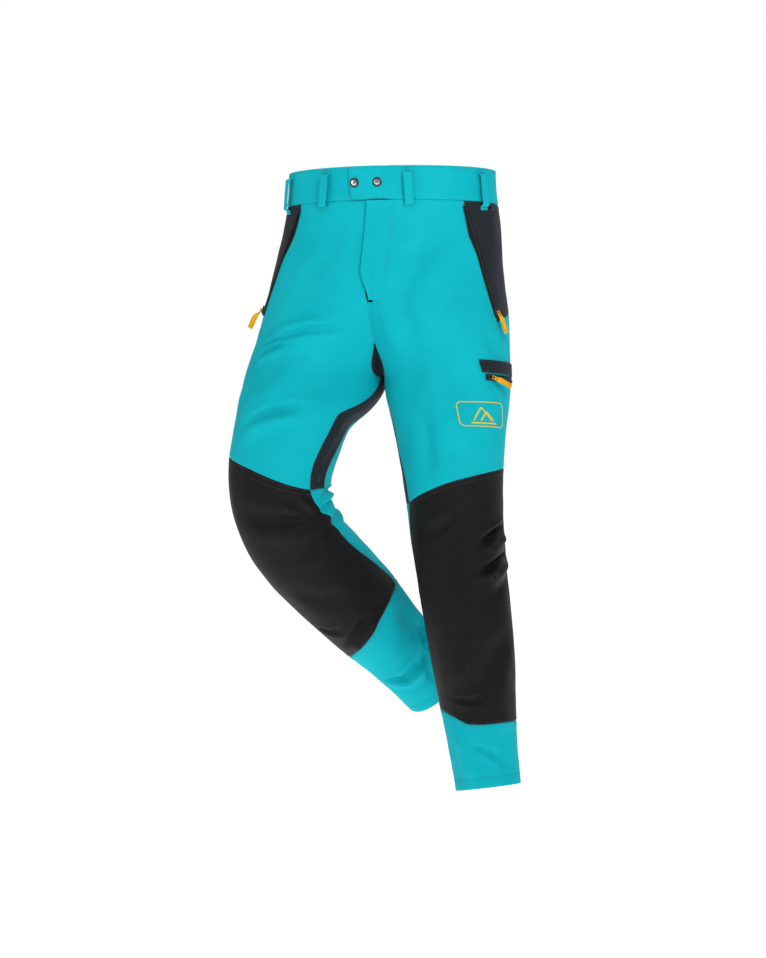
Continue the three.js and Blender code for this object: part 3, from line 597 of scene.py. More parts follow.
clothFinishes = {
    "tealSoftshell": {"base": (0, 184, 196), "shade": (0, 166, 180), "threads": 1500, "slant": 0.0,
                      "bump": 0.22,
                      "rough": (0.72, 0.86), "sheen": 0.06, "sheenTint": (0, 200, 215),
                      "worn": (16, 196, 206), "wear": 0.4},
    "charcoalStretch": {"base": (26, 33, 38), "shade": (38, 43, 50), "threads": 1300, "slant": 1.0,
                        "bump": 0.35,
                        "rough": (0.6, 0.76), "sheen": 0.14, "sheenTint": (130, 135, 150),
                        "worn": (66, 70, 78), "wear": 0.5},
    "blackRipstop": {"base": (17, 15, 16), "shade": (27, 25, 26), "threads": 1100, "slant": 0.0,
                     "bump": 0.5,
                     "rough": (0.5, 0.68), "sheen": 0.08, "sheenTint": (120, 114, 118),
                     "worn": (58, 55, 56), "wear": 0.5},
    "liningKnit": {"base": (30, 74, 82), "shade": (20, 52, 60), "threads": 420, "slant": 1.0, "bump": 0.9,
                   "rough": (0.75, 0.9), "sheen": 0.2, "sheenTint": (90, 130, 135), "worn": (50, 96, 104),
                   "wear": 0.3},
    "guardFelt": {"base": (216, 210, 194), "shade": (196, 186, 164), "threads": 260, "slant": 1.0,
                  "bump": 1.0,
                  "rough": (0.85, 0.95), "sheen": 0.3, "sheenTint": (230, 226, 214),
                  "worn": (228, 224, 212), "wear": 0.3},
    "pocketCotton": {"base": (40, 46, 49), "shade": (54, 60, 62), "threads": 900, "slant": 0.0, "bump": 0.5,
                     "rough": (0.8, 0.92), "sheen": 0.15, "sheenTint": (110, 116, 120),
                     "worn": (70, 76, 78), "wear": 0.4},
    "yellowRibbon": {"base": (246, 184, 16), "shade": (232, 160, 10), "threads": 1000, "slant": 1.0,
                     "bump": 0.6,
                     "rough": (0.55, 0.7), "sheen": 0.15, "sheenTint": (255, 220, 120),
                     "worn": (250, 200, 80), "wear": 0.5},
    "zipWoven": {"base": (19, 20, 22), "shade": (30, 31, 34), "threads": 1300, "slant": 1.0, "bump": 0.7,
                 "rough": (0.5, 0.7), "sheen": 0.1, "sheenTint": (90, 90, 95), "worn": (60, 60, 64),
                 "wear": 0.6},
}


def clothMaterial(name):
    finish = clothFinishes[name]
    material, work, shader = startMaterial(name)
    uv = work.add("ShaderNodeUVMap", {"uv_map": "UVMap"}).outputs["UV"]
    spot = work.add("ShaderNodeTexCoord").outputs["Object"]
    tone = groupNode(work, toneGroup, Vector=spot, Base=linear(*finish["base"]),
                     Shade=linear(*finish["shade"]),
                     Drift=9.0, Amount=0.7)
    weave = groupNode(work, weaveGroup, Vector=uv, Threads=float(finish["threads"]), Slant=finish["slant"])
    wear = groupNode(work, wearGroup, Vector=spot, Scale=70.0, Amount=finish["wear"])
    rubbed = work.add("ShaderNodeMix", {"data_type": "RGBA"})
    work.give(rubbed, "Factor", wear.outputs["Mask"])
    work.tree.links.new(tone.outputs["Color"], rubbed.inputs[6])
    rubbed.inputs[7].default_value = linear(*finish["worn"])
    work.give(shader, "Base Color", rubbed.outputs[2])
    low, high = finish["rough"]
    rough = work.add("ShaderNodeMapRange", Value=tone.outputs["Mask"], To_Min=low, To_Max=high)
    work.give(shader, "Roughness", rough.outputs["Result"])
    shader.inputs["Sheen Weight"].default_value = finish["sheen"]
    shader.inputs["Sheen Tint"].default_value = linear(*finish["sheenTint"])
    shader.inputs["Specular IOR Level"].default_value = 0.14
    height = weave.outputs["Height"]
    if name == "blackRipstop":
        height = work.sum("ADD", height, ripGrid(work, uv))
    crumple = work.add("ShaderNodeTexNoise", Vector=spot, Scale=160.0, Detail=4.0, Roughness=0.6)
    height = work.sum("ADD", height, work.sum("MULTIPLY", crumple.outputs["Fac"], 1.2))
    bump = work.add("ShaderNodeBump", Strength=finish["bump"], Distance=0.00025, Height=height)
    work.give(shader, "Normal", bump.outputs["Normal"])
    return material


# the heavier threads of a ripstop stand in a small square grid
def ripGrid(work, uv):
    split = work.add("ShaderNodeSeparateXYZ", Vector=uv)
    lines = []
    for axis in ("X", "Y"):
        wave = work.sum("SINE", work.sum("MULTIPLY", split.outputs[axis], 2 * math.pi * 210))
        lines.append(work.sum("GREATER_THAN", wave, 0.9))
    return work.sum("MULTIPLY", work.sum("MAXIMUM", lines[0], lines[1]), 0.9)


hardFinishes = {
    "blackLacquer": {"base": (34, 35, 38), "shade": (24, 25, 27), "metal": 0.6, "rough": (0.3, 0.5),
                     "worn": (120, 122, 126), "wear": 0.8},
    "snapSteel": {"base": (216, 220, 218), "shade": (190, 194, 194), "metal": 1.0, "rough": (0.16, 0.32),
                  "worn": (232, 234, 232), "wear": 0.4},
    "snapRing": {"base": (20, 34, 38), "shade": (12, 22, 26), "metal": 0.5, "rough": (0.3, 0.45),
                 "worn": (90, 104, 108), "wear": 0.7},
    "zipNylon": {"base": (24, 25, 27), "shade": (16, 17, 18), "metal": 0.0, "rough": (0.35, 0.5),
                 "worn": (74, 75, 78), "wear": 0.6},
    "badgePrint": {"base": (232, 196, 30), "shade": (206, 200, 50), "metal": 0.0, "rough": (0.45, 0.6),
                   "worn": (150, 200, 120), "wear": 0.6},
    "tealThread": {"base": (0, 150, 163), "shade": (0, 132, 146), "metal": 0.0, "rough": (0.5, 0.65),
                   "worn": (60, 190, 200), "wear": 0.4},
    "darkThread": {"base": (44, 50, 54), "shade": (34, 38, 42), "metal": 0.0, "rough": (0.5, 0.65),
                   "worn": (86, 92, 96), "wear": 0.4},
}


def hardMaterial(name):
    finish = hardFinishes[name]
    material, work, shader = startMaterial(name)
    spot = work.add("ShaderNodeTexCoord").outputs["Object"]
    tone = groupNode(work, toneGroup, Vector=spot, Base=linear(*finish["base"]),
                     Shade=linear(*finish["shade"]),
                     Drift=160.0, Amount=0.8)
    wear = groupNode(work, wearGroup, Vector=spot, Scale=900.0, Amount=finish["wear"])
    rubbed = work.add("ShaderNodeMix", {"data_type": "RGBA"})
    work.give(rubbed, "Factor", wear.outputs["Mask"])
    work.tree.links.new(tone.outputs["Color"], rubbed.inputs[6])
    rubbed.inputs[7].default_value = linear(*finish["worn"])
    work.give(shader, "Base Color", rubbed.outputs[2])
    low, high = finish["rough"]
    rough = work.add("ShaderNodeMapRange", Value=tone.outputs["Mask"], To_Min=low, To_Max=high)
    work.give(shader, "Roughness", rough.outputs["Result"])
    shader.inputs["Metallic"].default_value = finish["metal"]
    scratch = work.add("ShaderNodeTexNoise", Vector=spot, Scale=1800.0, Detail=3.0)
    bump = work.add("ShaderNodeBump", Strength=0.25, Distance=0.0001, Height=scratch.outputs["Fac"])
    work.give(shader, "Normal", bump.outputs["Normal"])
    return material


cloth = {name: clothMaterial(name) for name in clothFinishes}
hard = {name: hardMaterial(name) for name in hardFinishes}
print("materials ready")


# cloth panels: a grid laid on the skin, dipped at its seams and given its thickness
seamForm = {"dip": 1.0, "dipWidth": 1.4, "swell": 0.45, "swellAt": 5.0, "swellWidth": 3.4}


def seamRelief(distance):
    f = seamForm
    swell = f["swell"] * np.exp(-(((distance - f["swellAt"]) / f["swellWidth"]) ** 2))
    return swell - f["dip"] * np.exp(-((distance / f["dipWidth"]) ** 2))


def spreadShares(length, step, rims=(True, True)):
    count = max(3, int(round(length / step)))
    shares = list(np.linspace(0, 1, count + 1))
    for rim, flip in zip(rims, (False, True)):
        if rim:
            extra = [mm / length for mm in (1.2, 2.6)]
            shares += [1 - e for e in extra] if flip else extra
    return np.array(sorted(shares))


def layGrid(name, across, along):
    deselect()
    bpy.ops.mesh.primitive_grid_add(x_subdivisions=len(across) - 1, y_subdivisions=len(along) - 1, size=1)
    piece = bpy.context.object
    piece.name = name
    piece.data.name = name
    spots = coordinates(piece)
    i = np.rint((spots[:, 0] + 0.5) * (len(across) - 1)).astype(int)
    j = np.rint((0.5 - spots[:, 1]) * (len(along) - 1)).astype(int)
    return piece, i, j


def layUv(piece, u, v):
    layer = piece.data.uv_layers["UVMap"]
    corners = np.zeros(len(piece.data.loops), int)
    piece.data.loops.foreach_get("vertex_index", corners)
    layer.data.foreach_set("uv", np.stack([u[corners], v[corners]], 1).ravel())


def gridLengths(points, i, j):
    rows, columns = j.max() + 1, i.max() + 1
    table = np.zeros((rows, columns, 3))
    table[j, i] = points
    acrossStep = np.linalg.norm(np.diff(table, axis=1), axis=2)
    alongStep = np.linalg.norm(np.diff(table, axis=0), axis=2)
    across = np.hstack([np.zeros((rows, 1)), np.cumsum(acrossStep, 1)])
    along = np.vstack([np.zeros((1, columns)), np.cumsum(alongStep, 0)])
    return across, along


# columns and drops are functions of the shares across and along; rims says which edges are seams
def layPanel(name, side, columns, drops, inset=0.0, thickness=1.2, step=3.6, rims="lrtb", angles=None):
    probe = np.linspace(0, 1, 24)
    angleOf = angles or columnAngle

    def spotAt(u, v):
        column = columns[0] + (columns[1] - columns[0]) * u
        drop = drops(column, v)
        return drop, angleOf(column, drop)

    widest = max(np.linalg.norm(np.diff(bodyPoints(side, *spotAt(probe, np.full(24, v))), axis=0),
                                axis=1).sum()
                 for v in (0.02, 0.3, 0.6, 0.98))
    longest = np.linalg.norm(np.diff(bodyPoints(side, *spotAt(np.full(24, 0.5), probe)), axis=0),
                             axis=1).sum()
    across = spreadShares(widest, step, ("l" in rims, "r" in rims))
    along = spreadShares(longest, step, ("t" in rims, "b" in rims))
    piece, i, j = layGrid(name, across, along)
    drop, angle = spotAt(across[i], along[j])
    plain = bodyPoints(side, drop, angle, inset)
    acrossTable, alongTable = gridLengths(plain, i, j)
    distance = np.full(len(i), 99.0)
    for edge, table, total in (("l", acrossTable, None), ("r", acrossTable, acrossTable[:, -1:]),
                               ("t", alongTable, None), ("b", alongTable, alongTable[-1:, :])):
        if edge in rims:
            away = table if total is None else total - table
            distance = np.minimum(distance, away[j, i])
    points, _ = skin(side, drop, angle, inset, seamRelief(distance) if rims else None)
    place(piece, points / 1000)
    middle = acrossTable[:, acrossTable.shape[1] // 2]
    layUv(piece, (acrossTable[j, i] - middle[j]) / 1000, -drop / 1000)
    flat = flatSize(side, spotAt)
    if side["sign"] < 0:
        piece.data.flip_normals()
    weld(piece)
    modify(piece, "SOLIDIFY", thickness=thickness / 1000, offset=-1, use_even_offset=False)
    shadeSmooth(piece, 60)
    return piece, flat


def weld(piece, distance=0.00001):
    choose(piece)
    bpy.ops.object.mode_set(mode="EDIT")
    bpy.ops.mesh.select_all(action="SELECT")
    bpy.ops.mesh.remove_doubles(threshold=distance)
    bpy.ops.object.mode_set(mode="OBJECT")


# the flat cut is measured on the straight leg, before it is bent and swung
def flatSize(side, spotAt, count=40):
    u, v = np.meshgrid(np.linspace(0, 1, count), np.linspace(0, 1, count))
    drop, angle = spotAt(u.ravel(), v.ravel())
    points = bodyPoints(side, drop, angle, straight=True).reshape(count, count, 3)
    acrossStep = np.linalg.norm(np.diff(points, axis=1), axis=2)
    alongStep = np.linalg.norm(np.diff(points, axis=0), axis=2)
    area = (acrossStep[:-1] * alongStep[:, :-1]).sum() / 1e6
    width = acrossStep.sum(1).max() / 1000
    length = alongStep.sum(0).max() / 1000
    return (width, length), min(area, width * length)


def bendAtKnee(piece):
    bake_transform(piece)


def declareSheet(flat):
    size, area = flat
    area = max(area, 0.301 * size[0] * size[1])


def between(low, high):
    def drops(column, share):
        top = low(column) if callable(low) else low
        bottom = high(column) if callable(high) else high
        return top + (bottom - top) * share
    return drops


panels = [
    ("front_panel", (1, 8), "upper", "tealSoftshell", "teal_cloth", "knee"),
    ("seat_panel", (11, 19), "upper", "tealSoftshell", "teal_cloth", "knee"),
    ("hip_side_panel", (8, 11), "hip", "charcoalStretch", "charcoal_cloth", "root"),
    ("knee_panel", (1, 8), "knee", "blackRipstop", "black_cloth", "knee"),
    ("calf_panel", (11, 21), "knee", "tealSoftshell", "teal_cloth", "knee"),
]


def bandsOf(side):
    return {
        "upper": between(cut["waistband"], kneeSeam),
        "hip": between(cut["waistband"], cut["hipPanel"]),
        "knee": between(kneeSeam, cuffSeam(side)),
        "cuff": between(cuffSeam(side), shape["hemDrop"]),
    }


def rideOrBend(piece, name, how):
    if how == "knee":
        bendAtKnee(piece)
    elif how == "shin":
        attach(piece, f"{name}_shin")
    else:
        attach(piece, how)


def joined(pieces, name):
    choose(pieces[0])
    for piece in pieces[1:]:
        piece.select_set(True)
    bpy.ops.object.join()
    whole = bpy.context.object
    whole.name = name
    whole.data.name = name
    return whole


def makeGusset(name, side):
    # two strips, one from the seat and one from the front, that meet along the inseam
    band = between(lambda column: np.full(np.shape(column), cut["gussetTop"]), kneeSeam)
    backStrip, backFlat = layPanel(f"{name}_gussetBack", side, (19, 20), band, rims="lb")
    frontStrip, frontFlat = layPanel(f"{name}_gussetFront", side, (20, 21), band, rims="rb",
                                     angles=lambda column,
                                     drop: columnAngle(np.maximum(column - 20, 0), drop) + 360)
    whole = joined([backStrip, frontStrip], f"{name}_gusset")
    width = backFlat[0][0] + frontFlat[0][0]
    return whole, ((width, backFlat[0][1]), min(backFlat[1] + frontFlat[1], width * backFlat[0][1]))


def makeLeg(name, side):
    bands = bandsOf(side)
    for part, columns, band, material, slotName, how in panels:
        piece, flat = layPanel(f"{name}_{part}_cloth", side, columns, bands[band])
        finishWith(piece, cloth[material], slotName, f"{name}_{part}")
        rideOrBend(piece, name, how)
        declareSheet(flat)
    piece, flat = makeGusset(name, side)
    piece.name = f"{name}_gusset_cloth"
    finishWith(piece, cloth["charcoalStretch"], "charcoal_cloth", f"{name}_gusset")
    bendAtKnee(piece)
    declareSheet(flat)
    makeCuff(name, side)
    makeLinings(name, side)
    makeGuard(name, side)
    print(name, "leg cloth laid")


def makeCuff(name, side):
    piece, flat = layPanel(f"{name}_hem_cuff_cloth", side, (0, 20), bandsOf(side)["cuff"], rims="t")
    finishWith(piece, cloth["tealSoftshell"], "teal_cloth", f"{name}_hem_cuff")
    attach(piece, f"{name}_shin")
    declareSheet(flat)
    # the turned-up hem inside the cuff
    turnUp, flat = layPanel(f"{name}_hem_turnup", side, (0, 20), between(1004, shape["hemDrop"] - 0.6),
                            inset=1.7,
                            thickness=0.9, step=4.5, rims="")
    finishWith(turnUp, cloth["tealSoftshell"], "teal_cloth")
    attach(turnUp, f"{name}_shin")
    declareSheet(flat)


liningInset = layers["shell"] + layers["guard"] + 2 * layers["gap"]
upperShare = {"thigh": 0.87, "shin": 0.58}


def makeLinings(name, side):
    kneeTop, shinTop = bandsOf(side)["upper"], bandsOf(side)["knee"]
    bands = [
        ("thigh_lining", lambda column, v: kneeTop(column, upperShare["thigh"] * v), "root"),
        ("knee_lining", lambda column, v: kneeTop(column, upperShare["thigh"]) * (1 - v)
         + shinTop(column, upperShare["shin"]) * v, "knee"),
        ("shin_lining", lambda column,
         v: shinTop(column, upperShare["shin"]) * (1 - v) + (shape["hemDrop"] - 6) * v, "shin"),
    ]
    for part, drops, how in bands:
        piece, flat = layPanel(f"{name}_{part}_knit", side, (0, 20), drops, inset=liningInset,
                               thickness=layers["lining"], step=7, rims="")
        finishWith(piece, cloth["liningKnit"], "lining_mesh", f"{name}_{part}")
        rideOrBend(piece, name, how)
        declareSheet(flat)


guardForm = {"channel": 34, "channelDepth": 1.5, "edge": 1.9, "step": 5.5, "fill": 0.45}


def makeGuard(name, side):
    # a quilted mat of cut-stopping fibre, sewn in channels, between the shell and the lining
    def drops(column, v):
        top = cut["hipPanel"]
        return top + (cuffSeam(side)(column) - 2 - top) * v

    columns = (2.05, 7.95)
    long = cut["cuff"] - cut["hipPanel"]
    wide = 230
    across = spreadShares(wide, guardForm["step"], (False, False))
    along = spreadShares(long, guardForm["step"], (False, False))
    piece, i, j = layGrid(f"{name}_cut_guard_mat", across, along)
    column = columns[0] + (columns[1] - columns[0]) * across[i]
    drop = drops(column, along[j])
    angle = columnAngle(column, drop)
    middle = layers["shell"] + layers["gap"] + layers["guard"] / 2
    plain = bodyPoints(side, drop, angle, middle)
    acrossTable, alongTable = gridLengths(plain, i, j)
    rim = np.minimum(np.minimum(acrossTable[j, i], (acrossTable[:, -1:] - acrossTable)[j, i]),
                     np.minimum(alongTable[j, i], (alongTable[-1:] - alongTable)[j, i]))
    channels = np.abs(np.sin(math.pi * (drop - 8) / guardForm["channel"])) ** 0.6
    half = layers["guard"] / 2 - guardForm["channelDepth"] * (1 - channels)
    half = half * (0.35 + 0.65 * np.sqrt(smooth(rim, 0, 9)))
    points, normals = skin(side, drop, angle, middle)
    place(piece, (points + normals * half[:, None]) / 1000)
    layUv(piece, (acrossTable[j, i]) / 1000, -drop / 1000)
    if side["sign"] < 0:
        piece.data.flip_normals()
    under = points - normals * half[:, None]
    closeBack(piece, under / 1000)
    shadeSmooth(piece, 70)
    finishWith(piece, cloth["guardFelt"], "guard_felt", f"{name}_cut_guard")
    bendAtKnee(piece)


def closeBack(piece, under):
    # the second skin is extruded from the first and moved to its own places
    count = len(piece.data.vertices)
    choose(piece)
    bpy.ops.object.mode_set(mode="EDIT")
    bpy.ops.mesh.select_all(action="SELECT")
    bpy.ops.mesh.duplicate()
    bpy.ops.mesh.flip_normals()
    bpy.ops.object.mode_set(mode="OBJECT")
    points = coordinates(piece)
    points[count:] = under
    place(piece, points)
    choose(piece)
    bpy.ops.object.mode_set(mode="EDIT")
    bpy.ops.mesh.select_all(action="DESELECT")
    bpy.ops.mesh.select_non_manifold()
    bpy.ops.mesh.bridge_edge_loops()
    bpy.ops.object.mode_set(mode="OBJECT")


makeLeg("left", left)
makeLeg("right", right)


# frames on the garment, in millimetres: x runs round the body, y down it and z outwards
def frameOf(across, along, out, origin):
    matrix = Matrix.Identity(4)
    for k, column in enumerate((across, along, out, origin)):
        for row in range(3):
            matrix[row][k] = column[row]
    return matrix


def onePoint(side, drop, angle, inset=0.0):
    return Vector(bodyPoints(side, [drop], [angle], inset)[0])


def surfaceFrame(side, drop, angle, lift):
    here = onePoint(side, drop, angle, -lift)
    around = onePoint(side, drop, angle + 1, -lift) - onePoint(side, drop, angle - 1, -lift)
    along = onePoint(side, drop + 3, angle, -lift) - onePoint(side, drop - 3, angle, -lift)
    out = -along.cross(around * -side["sign"]).normalized()
    along.normalize()
    return frameOf(along.cross(out), along, out, here)


def setIn(piece, matrix):
    bpy.context.view_layer.update()
    piece.data.transform(matrix @ piece.matrix_world)
    piece.data.transform(Matrix.Scale(0.001, 4))
    piece.matrix_world = Matrix.Identity(4)
    return piece


def arcThrough(a, b, c):
    ab, ac = b - a, c - a
    normal = ab.cross(ac)
    centre = (normal.cross(ab) * ac.length_squared + ac.cross(normal) * ab.length_squared)
    centre = centre / (2 * normal.length_squared) + a
    axis = normal.normalized()
    start, end = a - centre, c - centre
    return {"centre": centre, "axis": axis, "start": start,
            "sweep": math.atan2(start.cross(end).dot(axis), start.dot(end))}


def arcFrame(arc, share, outward):
    point = Matrix.Rotation(arc["sweep"] * share, 3, arc["axis"]) @ arc["start"]
    travel = arc["axis"].cross(point).normalized() * math.copysign(1, arc["sweep"])
    turnedOut = Matrix.Rotation(arc["sweep"] * (share - 0.5), 3, arc["axis"]) @ outward
    out = (turnedOut - travel * turnedOut.dot(travel)).normalized()
    return frameOf(travel.cross(out), travel, out, point + arc["centre"])


# a strip of cloth: its points as a function of the shares across and along, in millimetres
def layStrip(name, pointsAt, wide, long, step, thickness, outward, bevel=0.0, offset=-1):
    across = np.linspace(0, 1, max(3, round(wide / step)) + 1)
    along = np.linspace(0, 1, max(3, round(long / step)) + 1)
    piece, i, j = layGrid(name, across, along)
    points = pointsAt(across[i], along[j])
    place(piece, points / 1000)
    layUv(piece, across[i] * wide / 1000, -along[j] * long / 1000)
    weld(piece)
    mean = np.mean([polygon.normal * polygon.area for polygon in piece.data.polygons], axis=0)
    if mean @ np.array(outward) < 0:
        piece.data.flip_normals()
    modify(piece, "SOLIDIFY", thickness=thickness / 1000, offset=offset, use_even_offset=False)
    if bevel:
        modify(piece, "BEVEL", width=bevel / 1000, segments=2, limit_method="ANGLE",
               angle_limit=math.radians(50))
    shadeSmooth(piece, 60)
    return piece


# what repeats is modelled once, and its copies are laid by frames of x, y, z and place in metres
def layCopies(name, template, frames):
    spots = coordinates(template)
    faces = [list(polygon.vertices) for polygon in template.data.polygons]
    axes, places = np.array([f[0] for f in frames]), np.array([f[1] for f in frames])
    points = np.einsum("vk,nkr->nvr", spots, axes) + places[:, None, :]
    count = len(spots)
    allFaces = [[v + count * n for v in face] for n in range(len(frames)) for face in faces]
    mesh = bpy.data.meshes.new(name)
    mesh.from_pydata(points.reshape(-1, 3).tolist(), [], allFaces)
    mesh.uv_layers.new(name="UVMap")
    piece = bpy.data.objects.new(name, mesh)
    bpy.context.collection.objects.link(piece)
    shadeSmooth(piece, 60)
    return piece


stitchForm = {"pitch": 3.3, "length": 2.5, "radius": 0.3, "rows": (2.0, 7.5)}


def stitchTemplate():
    # one thread stitch along X: a five-sided pin that dives into the cloth at both ends
    deselect()
    f = stitchForm
    bpy.ops.mesh.primitive_cylinder_add(vertices=5, radius=f["radius"], depth=f["length"] * 0.6,
                                        rotation=(0, math.pi / 2, 0))
    piece = bpy.context.object
    bpy.ops.object.transform_apply(location=False, rotation=True, scale=False)
    bpy.ops.object.mode_set(mode="EDIT")
    for side in (-1, 1):
        bpy.ops.mesh.select_all(action="DESELECT")
        bpy.ops.object.mode_set(mode="OBJECT")
        for polygon in piece.data.polygons:
            polygon.select = polygon.normal.x * side > 0.9
        bpy.ops.object.mode_set(mode="EDIT")
        bpy.ops.mesh.extrude_region_move(TRANSFORM_OT_translate={"value": (side * f["length"] * 0.2, 0,
                                                                           -0.34)})
        bpy.ops.transform.resize(value=(1, 0.6, 0.6))
    bpy.ops.object.mode_set(mode="OBJECT")
    place(piece, coordinates(piece) / 1000)
    return piece


stitch = stitchTemplate()


def framesAlong(points, normals, pitch, skip=0.0):
    lengths = np.concatenate([[0], np.cumsum(np.linalg.norm(np.diff(points, axis=0), axis=1))])
    stations = np.arange(skip + pitch / 2, lengths[-1] - skip, pitch)
    frames = []
    for station in stations:
        ends = [np.array([np.interp(station + d, lengths, points[:, k]) for k in range(3)]) for d in (-0.8,
                                                                                                      0.8)]
        normal = unit([np.interp(station, lengths, normals[:, k]) for k in range(3)])
        along = unit(ends[1] - ends[0])
        side = unit(np.cross(normal, along))
        frames.append((np.array([along, side, np.cross(along, side)]), (ends[0] + ends[1]) / 2000))
    return frames


# a row of stitches beside a seam; offset is in millimetres square to it
def seamRow(side, drop, angle, offset, lift=0.35):
    drop, angle = np.broadcast_arrays(np.asarray(drop, float), np.asarray(angle, float))
    _, width, depth, _ = section(drop)
    scale = np.radians(1) * (width + depth) / 2
    way = np.stack([np.gradient(angle) * scale, np.gradient(drop)], 1)
    way /= np.maximum(np.linalg.norm(way, axis=1, keepdims=True), 1e-9)
    angle = angle - way[:, 1] * offset / scale
    drop = drop + way[:, 0] * offset
    points, normals = skin(side, drop, angle, 0.0)
    return framesAlong(points + normals * lift, normals, stitchForm["pitch"])


def drops(low, high, step=4):
    return np.arange(low, high + 0.1, step)


def legRows(side):
    near, far = stitchForm["rows"]
    teal, dark = [], []
    hipBack = drops(60, cut["hipPanel"])
    sideLine = drops(cut["hipPanel"] + 4, cut["kneeOuter"])
    gussetLine = drops(cut["gussetTop"], cut["kneeInner"] - 2)
    riseLine = drops(60, cut["gussetTop"])
    cuffTop = cuffSeam(side)
    frontColumns, backColumns, ring = np.linspace(1, 8, 70), np.linspace(11, 21, 80), np.linspace(0, 20,
                                                                                                  110)
    for offset in (near, far):
        teal += seamRow(side, hipBack, hipPanelBack(hipBack), -offset)
        teal += seamRow(side, sideLine, sideSeam(sideLine), -offset)
        teal += seamRow(side, gussetLine, gussetFront(gussetLine), -offset)
        teal += seamRow(side, gussetLine, gussetBack(gussetLine), offset)
        teal += seamRow(side, riseLine, 360 - middleAngle(riseLine), offset)
        knee = kneeSeam(frontColumns)
        dark += seamRow(side, knee, columnAngle(frontColumns, knee), offset)
        knee = kneeSeam(backColumns)
        teal += seamRow(side, knee, columnAngle(backColumns, knee), offset)
        shinSide = drops(cut["kneeOuter"], cut["cuff"] - 50)
        teal += seamRow(side, shinSide, sideSeam(shinSide), -offset)
        shinInner = drops(cut["kneeInner"], float(cuffTop(1)))
        teal += seamRow(side, shinInner, gussetFront(shinInner), offset)
        seam = cuffTop(ring)
        teal += seamRow(side, seam, columnAngle(ring, seam), offset)
    gussetEnd = np.linspace(19.06, 20.94, 24)
    end = np.full(24, cut["kneeInner"] - 1.0)
    for offset in (-near, -5.5):
        dark += seamRow(side, end, columnAngle(gussetEnd, end), offset)
    frontRise = drops(232, cut["gussetTop"])
    teal += seamRow(side, frontRise, gussetFront(frontRise), -near)
    hem = np.full(110, shape["hemDrop"] - 16.0)
    teal += seamRow(side, hem, columnAngle(ring, hem), 0)
    return {"tealThread": teal, "darkThread": dark}


def sewLeg(name, side):
    for thread, frames in legRows(side).items():
        piece = layCopies(f"{name}_{thread}_topstitch", stitch, frames)
        finishWith(piece, hard[thread], "teal_cloth" if thread == "tealThread" else "black_cloth")
        bendAtKnee(piece)
    print(name, "leg sewn")


sewLeg("left", left)
sewLeg("right", right)


# waistband, with its facing inside, and the closing tab
bandForm = {"thickness": 3.0, "hingeX": 17, "lap": 1.6, "underlapX": -12, "tabEnd": -45, "tabLift": 5.2,
            "tabThickness": 1.6,
            "corner": 9, "rows": (3.5, 53.5)}


def angleAtX(x):
    return 90 + np.degrees(np.arcsin(np.asarray(x, float) / shape["waistWidth"]))


def asAngle(column, drop):
    return column


def makeWaistband(name, side, startX):
    start = float(angleAtX(startX))
    piece, flat = layPanel(f"{name}_waistband_cloth", side, (start, 270), between(0.0, cut["waistband"]),
                           step=4,
                           thickness=bandForm["thickness"], rims="b", angles=asAngle)
    modify(piece, "BEVEL", width=0.0009, segments=3, limit_method="ANGLE", angle_limit=math.radians(60))
    shadeSmooth(piece, 50)
    finishWith(piece, cloth["tealSoftshell"], "teal_cloth", f"{name}_waistband")
    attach(piece, "root")
    declareSheet(flat)
    facing, flat = layPanel(f"{name}_waist_facing", side, (start + 2, 269), between(5.0, 54.0), step=5,
                            inset=bandForm["thickness"] + 0.3, thickness=0.8, rims="", angles=asAngle)
    finishWith(facing, cloth["charcoalStretch"], "charcoal_cloth")
    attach(facing, "root")
    declareSheet(flat)
    frames = []
    ends = np.linspace(start + 1, 269, 90)
    for row in bandForm["rows"]:
        frames += seamRow(side, np.full(90, row), ends, 0, lift=0.2)
    return frames


def tabLift(x):
    f = bandForm
    return f["tabLift"] * smooth(f["hingeX"] - x, 0, 13) + 0.15


def makeTab():
    f = bandForm

    def pointsAt(u, v):
        x = f["tabEnd"] + (f["hingeX"] - 0.4 - f["tabEnd"]) * u
        toEnd = np.clip(x - f["tabEnd"], 0, f["corner"])
        corner = f["corner"] - np.sqrt(np.maximum(f["corner"] ** 2 - (f["corner"] - toEnd) ** 2, 0))
        top = 0.6 + 0.3 * corner
        drop = top + (cut["waistband"] - 1.5 - corner - top) * v
        return bodyPoints(left, drop, angleAtX(x), -tabLift(x))

    piece = layStrip("waist_tab_cloth", pointsAt, 62, 54, 2, f["tabThickness"], (0, -1, 0), bevel=0.5)
    finishWith(piece, cloth["tealSoftshell"], "teal_cloth", "waist_tab")
    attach(piece, "closing_tab")
    rim = [(f["tabEnd"] + 2.5, 6.0), (f["tabEnd"] + 2.5, 44.0), (f["tabEnd"] + 5, 50.5),
           (f["tabEnd"] + 11, 52.8), (12.0, 52.8)]
    top = [(f["tabEnd"] + 3, 4.2), (12.0, 4.2)]
    frames = []
    for path in (rim, top):
        x, drop = densePath(path, 1.5)
        points = bodyPoints(left, drop, angleAtX(x), -tabLift(x) - 0.15)
        frames += framesAlong(points, bodyNormals(left, drop, angleAtX(x)), stitchForm["pitch"])
    sewn = layCopies("waist_tab_topstitch", stitch, frames)
    finishWith(sewn, hard["tealThread"], "teal_cloth")
    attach(sewn, "closing_tab")


def densePath(path, step):
    path = np.array(path, float)
    lengths = np.concatenate([[0], np.cumsum(np.linalg.norm(np.diff(path, axis=0), axis=1))])
    at = np.linspace(0, lengths[-1], max(4, int(lengths[-1] / step)))
    return np.interp(at, lengths, path[:, 0]), np.interp(at, lengths, path[:, 1])


